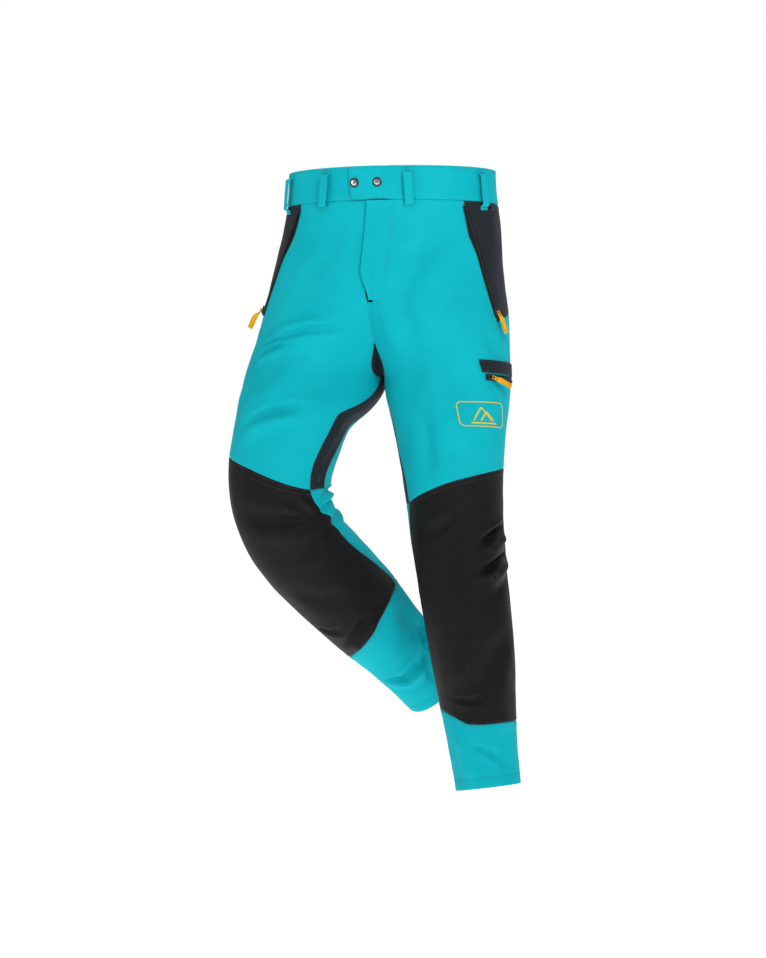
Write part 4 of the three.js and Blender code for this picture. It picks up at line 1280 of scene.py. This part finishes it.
# belt loops: folded strips with their two feet sewn down
loopForm = {"width": 15, "height": 66, "standoff": 6.4, "foot": 7, "thickness": 1.6, "drop": 38}
loopPlaces = [(left, 107), (left, 156), (left, 222), (right, 120), (right, 156), (right, 222),
              (left, 269.9)]


def loopHeight(y):
    half = loopForm["height"] / 2 - loopForm["foot"]
    rise = 1 - smooth(np.abs(y), half - 2.2, half + 1.4)
    return 0.1 + loopForm["standoff"] * rise * (0.94 + 0.06 * np.cos(y / half))


def makeLoops():
    frames = []
    f = loopForm
    for number, (side, angle) in enumerate(loopPlaces, 1):
        seat = surfaceFrame(side, f["drop"], angle, 2.5 if angle > 200 else 1.2)
        sway = [0, 0.4, -0.5, -1.6, 0.5, 0.3, 0][number - 1]

        def local(u, v):
            y = (v - 0.5) * f["height"]
            x = (u - 0.5) * f["width"] * (1 - 0.05 * np.cos(math.pi * (v - 0.5)))
            x = x + sway * np.sin(math.pi * v)
            return np.stack([x, y, loopHeight(y)], 1)

        basis = np.array(seat)

        def pointsAt(u, v):
            return local(u, v) @ basis[:3, :3].T + basis[:3, 3]

        piece = layStrip(f"belt_loop_{number}_cloth", pointsAt, f["width"], f["height"] + 12, 1.6,
                         f["thickness"],
                         basis[:3, 2], bevel=0.45, offset=1)
        finishWith(piece, cloth["tealSoftshell"], "teal_cloth", f"belt_loop_{number}")
        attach(piece, "root")
        for x in (-5.2, 5.2):
            y = np.linspace(-31, 31, 60)
            points = np.stack([np.full(60, x), y, loopHeight(y) + f["thickness"] + 0.1], 1)
            frames += framesAlong(points @ basis[:3, :3].T + basis[:3, 3], np.tile(basis[:3, 2], (60, 1)),
                                  stitchForm["pitch"])
        for y in (-29.6, 29.6):
            for x in np.arange(-4.4, 4.5, 0.75):
                spot = basis[:3, :3] @ np.array([x, y, f["thickness"] + 0.3]) + basis[:3, 3]
                frames.append((np.array([basis[:3, 1], -basis[:3, 0], basis[:3, 2]]), spot / 1000))
    return frames


bandStitches = makeWaistband("left", left, bandForm["hingeX"] - bandForm["lap"])
bandStitches += makeWaistband("right", right, bandForm["underlapX"])
bandStitches += makeLoops()
makeTab()
sewn = finishWith(layCopies("waist_topstitch", stitch, bandStitches), hard["tealThread"], "teal_cloth")
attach(sewn, "root")
print("waistband, tab and belt loops ready")


# snap fasteners: a dark rim pressed round a bright domed cap
snapForm = {"places": (2, -36), "drop": 28, "lift": 5.45,
            "ring": [(8.0, 0.0), (8.0, 0.9), (7.3, 1.5), (6.2, 1.7), (5.5, 1.2)],
            "dome": [(5.5, 1.0), (5.0, 1.75), (3.6, 2.15), (1.8, 2.3), (0.0, 2.34)]}


def spunPiece(name, profile, steps):
    deselect()
    bpy.ops.mesh.primitive_plane_add(size=1)
    piece = bpy.context.object
    piece.name = name
    mesh = bpy.data.meshes.new(name)
    mesh.from_pydata([(r, 0, z) for r, z in profile], [(k, k + 1) for k in range(len(profile) - 1)], [])
    piece.data = mesh
    bpy.ops.object.mode_set(mode="EDIT")
    bpy.ops.mesh.select_all(action="SELECT")
    bpy.ops.mesh.spin(steps=steps, angle=2 * math.pi, center=(0, 0, 0), axis=(0, 0, 1))
    bpy.ops.mesh.select_all(action="SELECT")
    bpy.ops.mesh.remove_doubles(threshold=0.01)
    bpy.ops.mesh.normals_make_consistent(inside=False)
    bpy.ops.object.mode_set(mode="OBJECT")
    return piece


def makeSnaps():
    for number, x in enumerate(snapForm["places"], 1):
        seat = surfaceFrame(left, snapForm["drop"], float(angleAtX(x)), snapForm["lift"])
        ring = spunPiece(f"snap_ring_{number}", [(0.0, 0.0), *snapForm["ring"], (5.5, 0.4), (0.0, 0.4)], 40)
        dome = spunPiece(f"snap_cap_{number}_dome", [(0.0, 0.5), (5.5, 0.5), *snapForm["dome"]], 40)
        for piece, material in ((ring, "snapRing"), (dome, "snapSteel")):
            setIn(piece, seat)
            shadeSmooth(piece, 35)
            finishWith(piece, hard[material], "snap_steel")
            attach(piece, "closing_tab")
        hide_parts(f"snap_cap_{number}")
        for kept in (f"snap_socket_{number}", f"snap_stud_{number}"):
            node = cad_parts[kept]
            node.data.materials.clear()
            node.data.materials.append(hard["snapSteel"])


makeSnaps()


# zips: a woven tape along an arc, nylon teeth, a slider with its bridge and a ribbon pull
zipForm = {"tape": 10.4, "thickness": 1.1, "toothPitch": 1.45, "sliderLift": 1.95, "eye": 4.9}


def toothTemplate():
    deselect()
    bpy.ops.mesh.primitive_uv_sphere_add(segments=7, ring_count=5, radius=1)
    piece = bpy.context.object
    place(piece, coordinates(piece) * np.array([1.25, 0.5, 0.55]) / 1000)
    return piece


tooth = toothTemplate()


def makeTape(name, arc, outward, teethFrom):
    length = arc["start"].length * abs(arc["sweep"])
    seats = [np.array(arcFrame(arc, s, outward)) for s in np.linspace(0, 1, 41)]

    def onArc(share):
        at = np.clip(share, 0, 1) * 40
        low = np.minimum(at.astype(int), 39)
        part = (at - low)[:, None, None]
        table = np.array(seats)
        return table[low] * (1 - part) + table[low + 1] * part

    def pointsAt(u, v):
        x = (u - 0.5) * zipForm["tape"]
        z = zipForm["thickness"] + 0.12 * np.cos(2 * math.pi * u) * (1 - np.abs(2 * u - 1))
        local = np.stack([x, np.zeros(len(x)), z, np.ones(len(x))], 1)
        return np.einsum("nrk,nk->nr", onArc(v), local)[:, :3]

    piece = layStrip(f"{name}_zip_tape", pointsAt, zipForm["tape"], length, 1.6, 0.9, outward, bevel=0.2)
    finishWith(piece, cloth["zipWoven"], "zip_black", f"{name}_zip")
    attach(piece, "root")
    frames = []
    count = int(length / zipForm["toothPitch"])
    for k in range(count):
        share = (k + 0.5) / count
        seat = np.array(arcFrame(arc, share, outward))
        closed = (share - teethFrom[0]) * teethFrom[1] > 0
        apart = 0.55 if closed else 1.5
        for hand in (-1, 1):
            local = np.array([hand * apart, 0.36 * hand, zipForm["thickness"] + 0.35, 1])
            frames.append((seat[:3, :3].T, (seat @ local)[:3] / 1000))
    teeth = layCopies(f"{name}_zip_teeth", tooth, frames)
    finishWith(teeth, hard["zipNylon"], "zip_black")
    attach(teeth, "root")


sliderForm = {"length": 13, "width": 9, "thickness": 2.6, "taper": 0.72, "bevel": 0.55,
              "bridge": (1.85, 0.46)}


def makeSlider(name, seat):
    f = sliderForm
    deselect()
    bpy.ops.mesh.primitive_cube_add(size=1, location=(0, 0, f["thickness"] / 2),
                                    scale=(f["width"], f["length"], f["thickness"]))
    body = bpy.context.object
    bpy.ops.object.transform_apply(location=True, rotation=False, scale=True)
    selectFaces(body, lambda polygon: polygon.normal.y < -0.9)
    bpy.ops.transform.resize(value=(f["taper"], 1, 1))
    selectFaces(body, lambda polygon: polygon.normal.z > 0.9)
    bpy.ops.mesh.inset(thickness=1.3, depth=0)
    bpy.ops.mesh.extrude_region_move(TRANSFORM_OT_translate={"value": (0, 0, -0.35)})
    bpy.ops.transform.resize(value=(0.9, 0.9, 1))
    bpy.ops.object.mode_set(mode="OBJECT")
    modify(body, "BEVEL", width=f["bevel"], segments=2, limit_method="ANGLE", angle_limit=math.radians(40))
    deselect()
    major, minor = f["bridge"]
    bpy.ops.mesh.primitive_torus_add(major_radius=major, minor_radius=minor, major_segments=28,
                                     minor_segments=10,
                                     location=(0, 0, zipForm["eye"]), rotation=(0, math.pi / 2, 0))
    bridge = bpy.context.object
    bpy.ops.object.transform_apply(location=True, rotation=True, scale=True)
    piece = joined([body, bridge], f"{name}_slider_metal")
    setIn(piece, seat @ Matrix.Translation((0, 0, zipForm["sliderLift"])))
    shadeSmooth(piece, 40)
    finishWith(piece, hard["blackLacquer"], "slider_metal", f"{name}_slider")
    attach(piece, f"{name}_slider")


def selectFaces(piece, test):
    choose(piece)
    bpy.ops.object.mode_set(mode="EDIT")
    bpy.ops.mesh.select_mode(type="FACE")
    bpy.ops.mesh.select_all(action="DESELECT")
    bpy.ops.object.mode_set(mode="OBJECT")
    for polygon in piece.data.polygons:
        polygon.select = test(polygon)
    bpy.ops.object.mode_set(mode="EDIT")


def makePull(name, seat, form):
    # a ribbon folded through the bridge, sewn flat and a little curled
    wide, long = form["width"], form["length"]
    hung = seat @ Matrix.Translation((0, 0, zipForm["sliderLift"] + zipForm["eye"]))
    hung = hung @ Matrix.Rotation(math.radians(form["aside"]), 4,
                                  "Z") @ Matrix.Rotation(math.radians(form["lean"]), 4, "X")
    basis = np.array(hung)
    columns, rows = 6, round(long / 0.7)
    piece, i, j = layGrid(f"{name}_pull_ribbon", np.linspace(0, 1, columns + 1),
                          np.linspace(0, 1, rows + 1))
    y = -0.7 + 0.7 * j
    half = (2.9 + (wide / 2 - 2.9) * smooth(y, 6, 15)) * (1 - 0.12 * smooth(y, long - 3, long))
    x = (i / columns * 2 - 1) * half
    curl = form["curl"] * np.sin(math.pi * np.clip(y / long, 0, 1) * 1.4) * smooth(y, 5, 16)
    crown = 0.3 * (1 - (x / np.maximum(half, 1)) ** 2) * smooth(y, 5, 12)
    turn = np.radians(form.get("twist", 0)) * smooth(y, 3, 18)
    local = np.stack([x * np.cos(turn), y, curl + crown + x * np.sin(turn)], 1)
    place(piece, (local @ basis[:3, :3].T + basis[:3, 3]) / 1000)
    layUv(piece, x / 1000, -y / 1000)
    window = [polygon.index for polygon in piece.data.polygons
              if all(1 <= i[v] <= columns - 1 and 2 <= j[v] <= 8 for v in polygon.vertices)]
    selectFaces(piece, lambda polygon: polygon.index in window)
    bpy.ops.mesh.delete(type="FACE")
    bpy.ops.object.mode_set(mode="OBJECT")
    modify(piece, "SOLIDIFY", thickness=0.0013, offset=0, use_even_offset=False)
    modify(piece, "BEVEL", width=0.0003, segments=2, limit_method="ANGLE", angle_limit=math.radians(50))
    shadeSmooth(piece, 50)
    finishWith(piece, cloth["yellowRibbon"], "pull_yellow", f"{name}_pull")
    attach(piece, f"{name}_pull")
    sewPull(name, basis, form)


def sewPull(name, basis, form):
    wide, long = form["width"], form["length"]
    lines = [[(-wide * 0.33, 0.45 * long), (-wide * 0.33, long - 3.5)],
             [(wide * 0.33, 0.45 * long), (wide * 0.33, long - 3.5)],
             [(-wide * 0.3, long - 4.5), (wide * 0.3, long - 4.5)], [(-2.2, 7.5), (2.2, 7.5)],
             [(-2.2, 9.0), (2.2, 9.0)]]
    frames = []
    for path in lines:
        x, y = densePath(path, 0.6)
        curl = form["curl"] * np.sin(math.pi * np.clip(y / long, 0, 1) * 1.4) * smooth(y, 5, 16)
        for face in (1, -1):
            lift = 0.3 * (1 - (x / (wide / 2)) ** 2) + face * 0.75
            turn = np.radians(form.get("twist", 0)) * smooth(y, 3, 18)
            spots = [x * np.cos(turn) - lift * np.sin(turn), y,
                     curl + x * np.sin(turn) + lift * np.cos(turn)]
            points = np.stack(spots, 1) @ basis[:3, :3].T + basis[:3, 3]
            outs = np.stack([-np.sin(turn), 0 * turn, np.cos(turn)], 1) @ basis[:3, :3].T * face
            frames += framesAlong(points, outs, 2.7)
    sewn = layCopies(f"{name}_pull_topstitch", stitch, frames)
    finishWith(sewn, hard["darkThread"], "pull_yellow")
    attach(sewn, f"{name}_pull")


def makeZip(name, arc, outward, share, form, teethFrom):
    makeTape(name, arc, outward, teethFrom)
    seat = arcFrame(arc, share, outward)
    makeSlider(name, seat)
    makePull(name, seat, form)


pulls = {
    "left": {"width": 9, "length": 40, "lean": 10, "aside": 0, "curl": 1.4},
    "right": {"width": 9, "length": 40, "lean": 26, "aside": 25, "curl": 1.8, "twist": 55},
    "fly": {"width": 6.5, "length": 22, "lean": 3, "aside": 0, "curl": 0.2},
    "thigh": {"width": 9, "length": 40, "lean": 10, "aside": -22, "curl": 1.2},
}
flyForm = {"top": 62, "flapTop": 57.8, "bottom": 222, "zipInset": 6, "flap": (-15, 32), "shield": (-24, 20),
           "lift": 6.0}


def outwardAt(side, drop, angle):
    return Vector([surfaceFrame(side, drop, angle, 0)[row][2] for row in range(3)])


def flyPoint(drop):
    middle = onePoint(left, drop, float(middleAngle(np.array([drop]))[0]), flyForm["zipInset"])
    middle.x -= layers["middleGap"]
    return middle


for side in (left, right):
    seam = [onePoint(side, drop, float(sideSeam(drop)), -1.0) for drop in (66, 156, 250)]
    outward = outwardAt(side, 156, float(sideSeam(156)))
    makeZip(f"{side['name']}_hip", arcThrough(*seam), outward, 0.95, pulls[side["name"]], (0.95, -1))
flyEnd = flyForm["bottom"] - 8
flyArc = arcThrough(flyPoint(flyForm["top"]), flyPoint((flyForm["top"] + flyForm["bottom"]) / 2),
                    flyPoint(flyEnd))
makeZip("fly", flyArc, Vector((0, -1, 0)), 0.07, pulls["fly"], (0.07, 1))
thighSeam = [onePoint(left, 357, angle, -1.1) for angle in (134, 169, 204)]
makeZip("thigh_pocket", arcThrough(*thighSeam), outwardAt(left, 357, 169), 0.07, pulls["thigh"], (0.07, 1))
print("zips and pulls ready")


# fly: the outer flap, and the shield behind the zip
def flySurface(x, drop, lift):
    centre, width, _, _ = section(drop)
    angle = 90 + np.degrees(np.arcsin(np.clip((np.abs(x) - centre) / width, -1, 1)))
    y = bodyPoints(left, drop, angle, 0.0)[:, 1]
    sway = stance["sway"] * smooth(drop, stance["swayTop"], stance["swayBottom"])
    return np.stack([x - sway, y - lift, -drop], 1)


def makeFly():
    f = flyForm

    def flapAt(u, v):
        drop = f["flapTop"] + (f["bottom"] - f["flapTop"]) * v
        free = f["flap"][0] + 13 * smooth(drop, 168, f["bottom"])
        x = free + (f["flap"][1] - free) * u
        lift = f["lift"] * (1 - smooth(x, 4, f["flap"][1] - 2)) * (1 - 0.72 * smooth(drop, 190,
                                                                                     f["bottom"])) + 0.5
        return flySurface(x, drop, lift)

    piece = layStrip("fly_flap_cloth", flapAt, 47, 160, 2.6, 1.3, (0, -1, 0), bevel=0.45)
    finishWith(piece, cloth["tealSoftshell"], "teal_cloth", "fly_flap")
    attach(piece, "fly_flap")
    rows = []
    for x in (26.5, 29.5):
        v = np.linspace(0.02, 0.97, 80)
        u = (x - f["flap"][0]) / (f["flap"][1] - f["flap"][0]) - 0.12 * smooth(v, 0.7, 1)
        rows += framesAlong(flapAt(u, v) + np.array([0, -0.2, 0]), np.tile((0.2, -0.98, 0), (80, 1)),
                            stitchForm["pitch"])
    sewn = layCopies("fly_flap_topstitch", stitch, rows)
    finishWith(sewn, hard["tealThread"], "teal_cloth")
    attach(sewn, "fly_flap")

    def shieldAt(u, v):
        drop = f["top"] + (f["bottom"] - f["top"]) * v
        return flySurface(f["shield"][0] + (f["shield"][1] - f["shield"][0]) * u, drop,
                          -liningInset - layers["lining"] - 3.0)

    shield = layStrip("fly_shield_cloth", shieldAt, 44, 160, 5, 1.2, (0, -1, 0), bevel=0.3)
    finishWith(shield, cloth["liningKnit"], "lining_mesh", "fly_shield")
    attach(shield, "root")


makeFly()


# a felled tape joins the two legs' cloth down the rise, front and back
riseForm = {"reach": 4.6, "inset": 1.0, "thickness": 0.9, "front": (225, 292), "back": (57, 292)}


def makeRise(name, drops, back):
    f = riseForm

    def pointsAt(u, v):
        drop = drops[0] + (drops[1] - drops[0]) * v
        seam = 360 - middleAngle(drop) if back else middleAngle(drop)
        away = np.abs(2 * u - 1) * f["reach"] * (-1 if back else 1)
        ours = bodyPoints(left, drop, seam + away, f["inset"])
        theirs = bodyPoints(right, drop, seam + away, f["inset"])
        return np.where((u < 0.5)[:, None], ours, np.where((u > 0.5)[:, None], theirs, (ours + theirs) / 2))

    long = drops[1] - drops[0]
    piece = layStrip(name, pointsAt, 22, long, 3, f["thickness"], (0, 1 if back else -1, 0), bevel=0.2)
    finishWith(piece, cloth["tealSoftshell"], "teal_cloth")
    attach(piece, "root")


makeRise("rise_tape_front", riseForm["front"], False)
makeRise("rise_tape_back", riseForm["back"], True)


# pockets, badge and side tag
pocketForm = {"bagAngles": (100, 136), "bagDrops": (78.0, 236.0), "weltAngles": (131, 208),
              "weltDrops": (327.0, 349.0),
              "weltLift": 2.6, "weltThickness": 2.0}
badgeForm = {"drop": 419.5, "angle": 126, "width": 96, "height": 42, "corner": 9, "line": 1.7, "lift": 0.75}


def makePockets():
    f = pocketForm
    for side in (left, right):
        bag, flat = layPanel(f"{side['name']}_hip_pocket_bag_cloth", side, f["bagAngles"],
                             between(*f["bagDrops"]), inset=3.8,
                             thickness=2.2, step=5, rims="", angles=asAngle)
        finishWith(bag, cloth["pocketCotton"], "pocket_cotton", f"{side['name']}_hip_pocket_bag")
        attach(bag, "root")
        declareSheet(flat)

    def weltAt(u, v):
        angle = f["weltAngles"][0] + (f["weltAngles"][1] - f["weltAngles"][0]) * u
        drop = f["weltDrops"][0] + (f["weltDrops"][1] - f["weltDrops"][0]) * v
        swell = 0.35 * np.sin(math.pi * v)
        return bodyPoints(left, drop, angle, -f["weltLift"] - swell)

    welt = layStrip("thigh_pocket_welt_cloth", weltAt, 141, 22, 2.2, f["weltThickness"],
                    outwardAt(left, 338, 169), bevel=0.6)
    finishWith(welt, cloth["charcoalStretch"], "charcoal_cloth", "thigh_pocket_welt")
    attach(welt, "root")
    frames = []
    for drop in (f["weltDrops"][0] + 2.5, f["weltDrops"][1] - 2.5):
        angles = np.linspace(f["weltAngles"][0] + 1, f["weltAngles"][1] - 1, 70)
        row = np.full(70, drop)
        frames += framesAlong(bodyPoints(left, row, angles, -f["weltLift"] - 0.35),
                              bodyNormals(left, row, angles), stitchForm["pitch"])
    sewnWelt = layCopies("thigh_pocket_topstitch", stitch, frames)
    finishWith(sewnWelt, hard["darkThread"], "charcoal_cloth")
    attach(sewnWelt, "root")


def onBadge(s, t, lift):
    drop = badgeForm["drop"] + t
    _, width, depth, _ = section(drop)
    angle = badgeForm["angle"] + s / (math.radians(1) * (width + depth) / 2)
    points, normals = skin(left, drop, angle)
    return points + normals * lift


def roundedOutline(share, grow):
    # a rounded rectangle walked once round, a straight and a corner at a time
    f = badgeForm
    halfW, halfH, corner = f["width"] / 2 + grow, f["height"] / 2 + grow, f["corner"] + grow
    straightW, straightH = halfW - corner, halfH - corner
    lengths = [2 * straightH, math.pi / 2 * corner, 2 * straightW, math.pi / 2 * corner] * 2
    total = sum(lengths)
    at = (share % 1.0) * total
    s, t = np.zeros(len(at)), np.zeros(len(at))
    before = 0.0
    corners = [(1, 1), (1, 1), (-1, 1), (-1, 1), (-1, -1), (-1, -1), (1, -1), (1, -1)]
    for k, length in enumerate(lengths):
        inside = (at >= before) & (at <= before + length + 1e-9)
        along = (at - before) / max(length, 1e-9)
        cx, cy = corners[k][0] * straightW, corners[k][1] * straightH
        if k % 2 == 0:
            startTurn = (k // 2) * math.pi / 2
            nx, ny = math.cos(startTurn), math.sin(startTurn)
            reach = straightH if k in (0, 4) else straightW
            flat = halfW if k in (0, 4) else halfH
            s = np.where(inside, nx * flat - ny * reach * (2 * along - 1), s)
            t = np.where(inside, ny * flat + nx * reach * (2 * along - 1), t)
        else:
            turn = (k // 2) * math.pi / 2 + along * math.pi / 2
            s = np.where(inside, cx + corner * np.cos(turn), s)
            t = np.where(inside, cy + corner * np.sin(turn), t)
        before += length
    return s, t


def makeBadge():
    f = badgeForm
    outward = outwardAt(left, f["drop"], f["angle"])

    def ringAt(u, v):
        s0, t0 = roundedOutline(v, 0.0)
        s1, t1 = roundedOutline(v, -f["line"])
        return onBadge(s0 * (1 - u) + s1 * u, t0 * (1 - u) + t1 * u, f["lift"])

    pieces = [layStrip("badgeRing", ringAt, 3.2, 2 * (f["width"] + f["height"]), 1.4, 0.45, outward,
                       bevel=0.12)]
    marks = [[(-20, 11), (-2, -11), (16, 11)], [(-6, 11), (7, -4), (20, 11)], [(-26, 15), (26, 15)]]
    for number, path in enumerate(marks):
        s, t = densePath(path, 1.0)
        way = np.gradient(np.stack([s, t], 1), axis=0)
        way /= np.linalg.norm(way, axis=1, keepdims=True)

        def markAt(u, v):
            at = v * (len(s) - 1)
            spread = (u - 0.5) * 2.6
            bs, bt = np.interp(at, np.arange(len(s)), s), np.interp(at, np.arange(len(s)), t)
            ws, wt = np.interp(at, np.arange(len(s)), way[:, 0]), np.interp(at, np.arange(len(s)),
                                                                            way[:, 1])
            return onBadge(bs - wt * spread, bt + ws * spread, f["lift"] + 0.04 * number)

        pieces.append(layStrip(f"badgeMark{number}", markAt, 2.6, 50, 1.0, 0.4, outward, bevel=0.1))
    badge = joined(pieces, "thigh_badge_print")
    finishWith(badge, hard["badgePrint"], "badge_print", "thigh_badge")
    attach(badge, "root")


def makeTag():
    def tagAt(u, v):
        drop, angle = 60.5 + 10 * v, 163.5 + 7 * u
        return bodyPoints(left, drop, angle, -0.9 - 2.2 * np.sin(math.pi * v) ** 0.8)

    tag = layStrip("side_tag_cloth", tagAt, 12, 14, 1, 0.8, outwardAt(left, 65, 167), bevel=0.25)
    finishWith(tag, cloth["pocketCotton"], "pocket_cotton", "side_tag")
    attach(tag, "root")


makePockets()
makeBadge()
makeTag()
for template in (stitch, tooth):
    bpy.data.objects.remove(template)
print("fittings ready")


# the stage: a pale floor and soft studio light
stageForm = {"floorDrop": -1.42, "floorSize": 400, "white": (250, 250, 250), "ambient": 0.26,
             "floorGlow": 0.8}
lights = [
    ("keyLight", (1.3, -1.9, 0.95), 0.6, 24),
    ("fillLight", (-2.2, -1.8, 0.6), 1.4, 10),
    ("backLight", (0.6, 2.4, 1.2), 1.6, 16),
    ("topLight", (0.0, -0.5, 1.6), 1.2, 7),
]


def makeStage():
    deselect()
    bpy.ops.mesh.primitive_plane_add(size=stageForm["floorSize"], location=(0, 0, stageForm["floorDrop"]))
    floor = bpy.context.object
    floor.name = "floor"
    material, work, shader = startMaterial("paleFloor")
    shader.inputs["Base Color"].default_value = linear(*stageForm["white"])
    shader.inputs["Roughness"].default_value = 0.9
    shader.inputs["Emission Color"].default_value = (1, 1, 1, 1)
    shader.inputs["Emission Strength"].default_value = stageForm["floorGlow"]
    floor.data.materials.append(material)
    world = bpy.data.worlds.new("studio")
    world.use_nodes = True
    background = world.node_tree.nodes["Background"]
    background.inputs["Color"].default_value = (1, 1, 1, 1)
    # the backdrop looks white while it lights the cloth more softly
    seen = Nodes(world.node_tree)
    camera = seen.add("ShaderNodeLightPath").outputs["Is Camera Ray"]
    strength = seen.add("ShaderNodeMapRange", Value=camera, To_Min=stageForm["ambient"], To_Max=1.0)
    seen.give(background, "Strength", strength.outputs["Result"])
    bpy.context.scene.world = world
    bpy.context.scene.view_settings.view_transform = "Standard"
    for name, spot, size, power in lights:
        data = bpy.data.lights.new(name, "AREA")
        data.shape = "DISK"
        data.size = size
        data.energy = power
        light = bpy.data.objects.new(name, data)
        bpy.context.collection.objects.link(light)
        light.location = spot
        way = Vector((0, 0, -0.5)) - Vector(spot)
        light.rotation_euler = way.to_track_quat("-Z", "Y").to_euler()


makeStage()
print("stage ready")
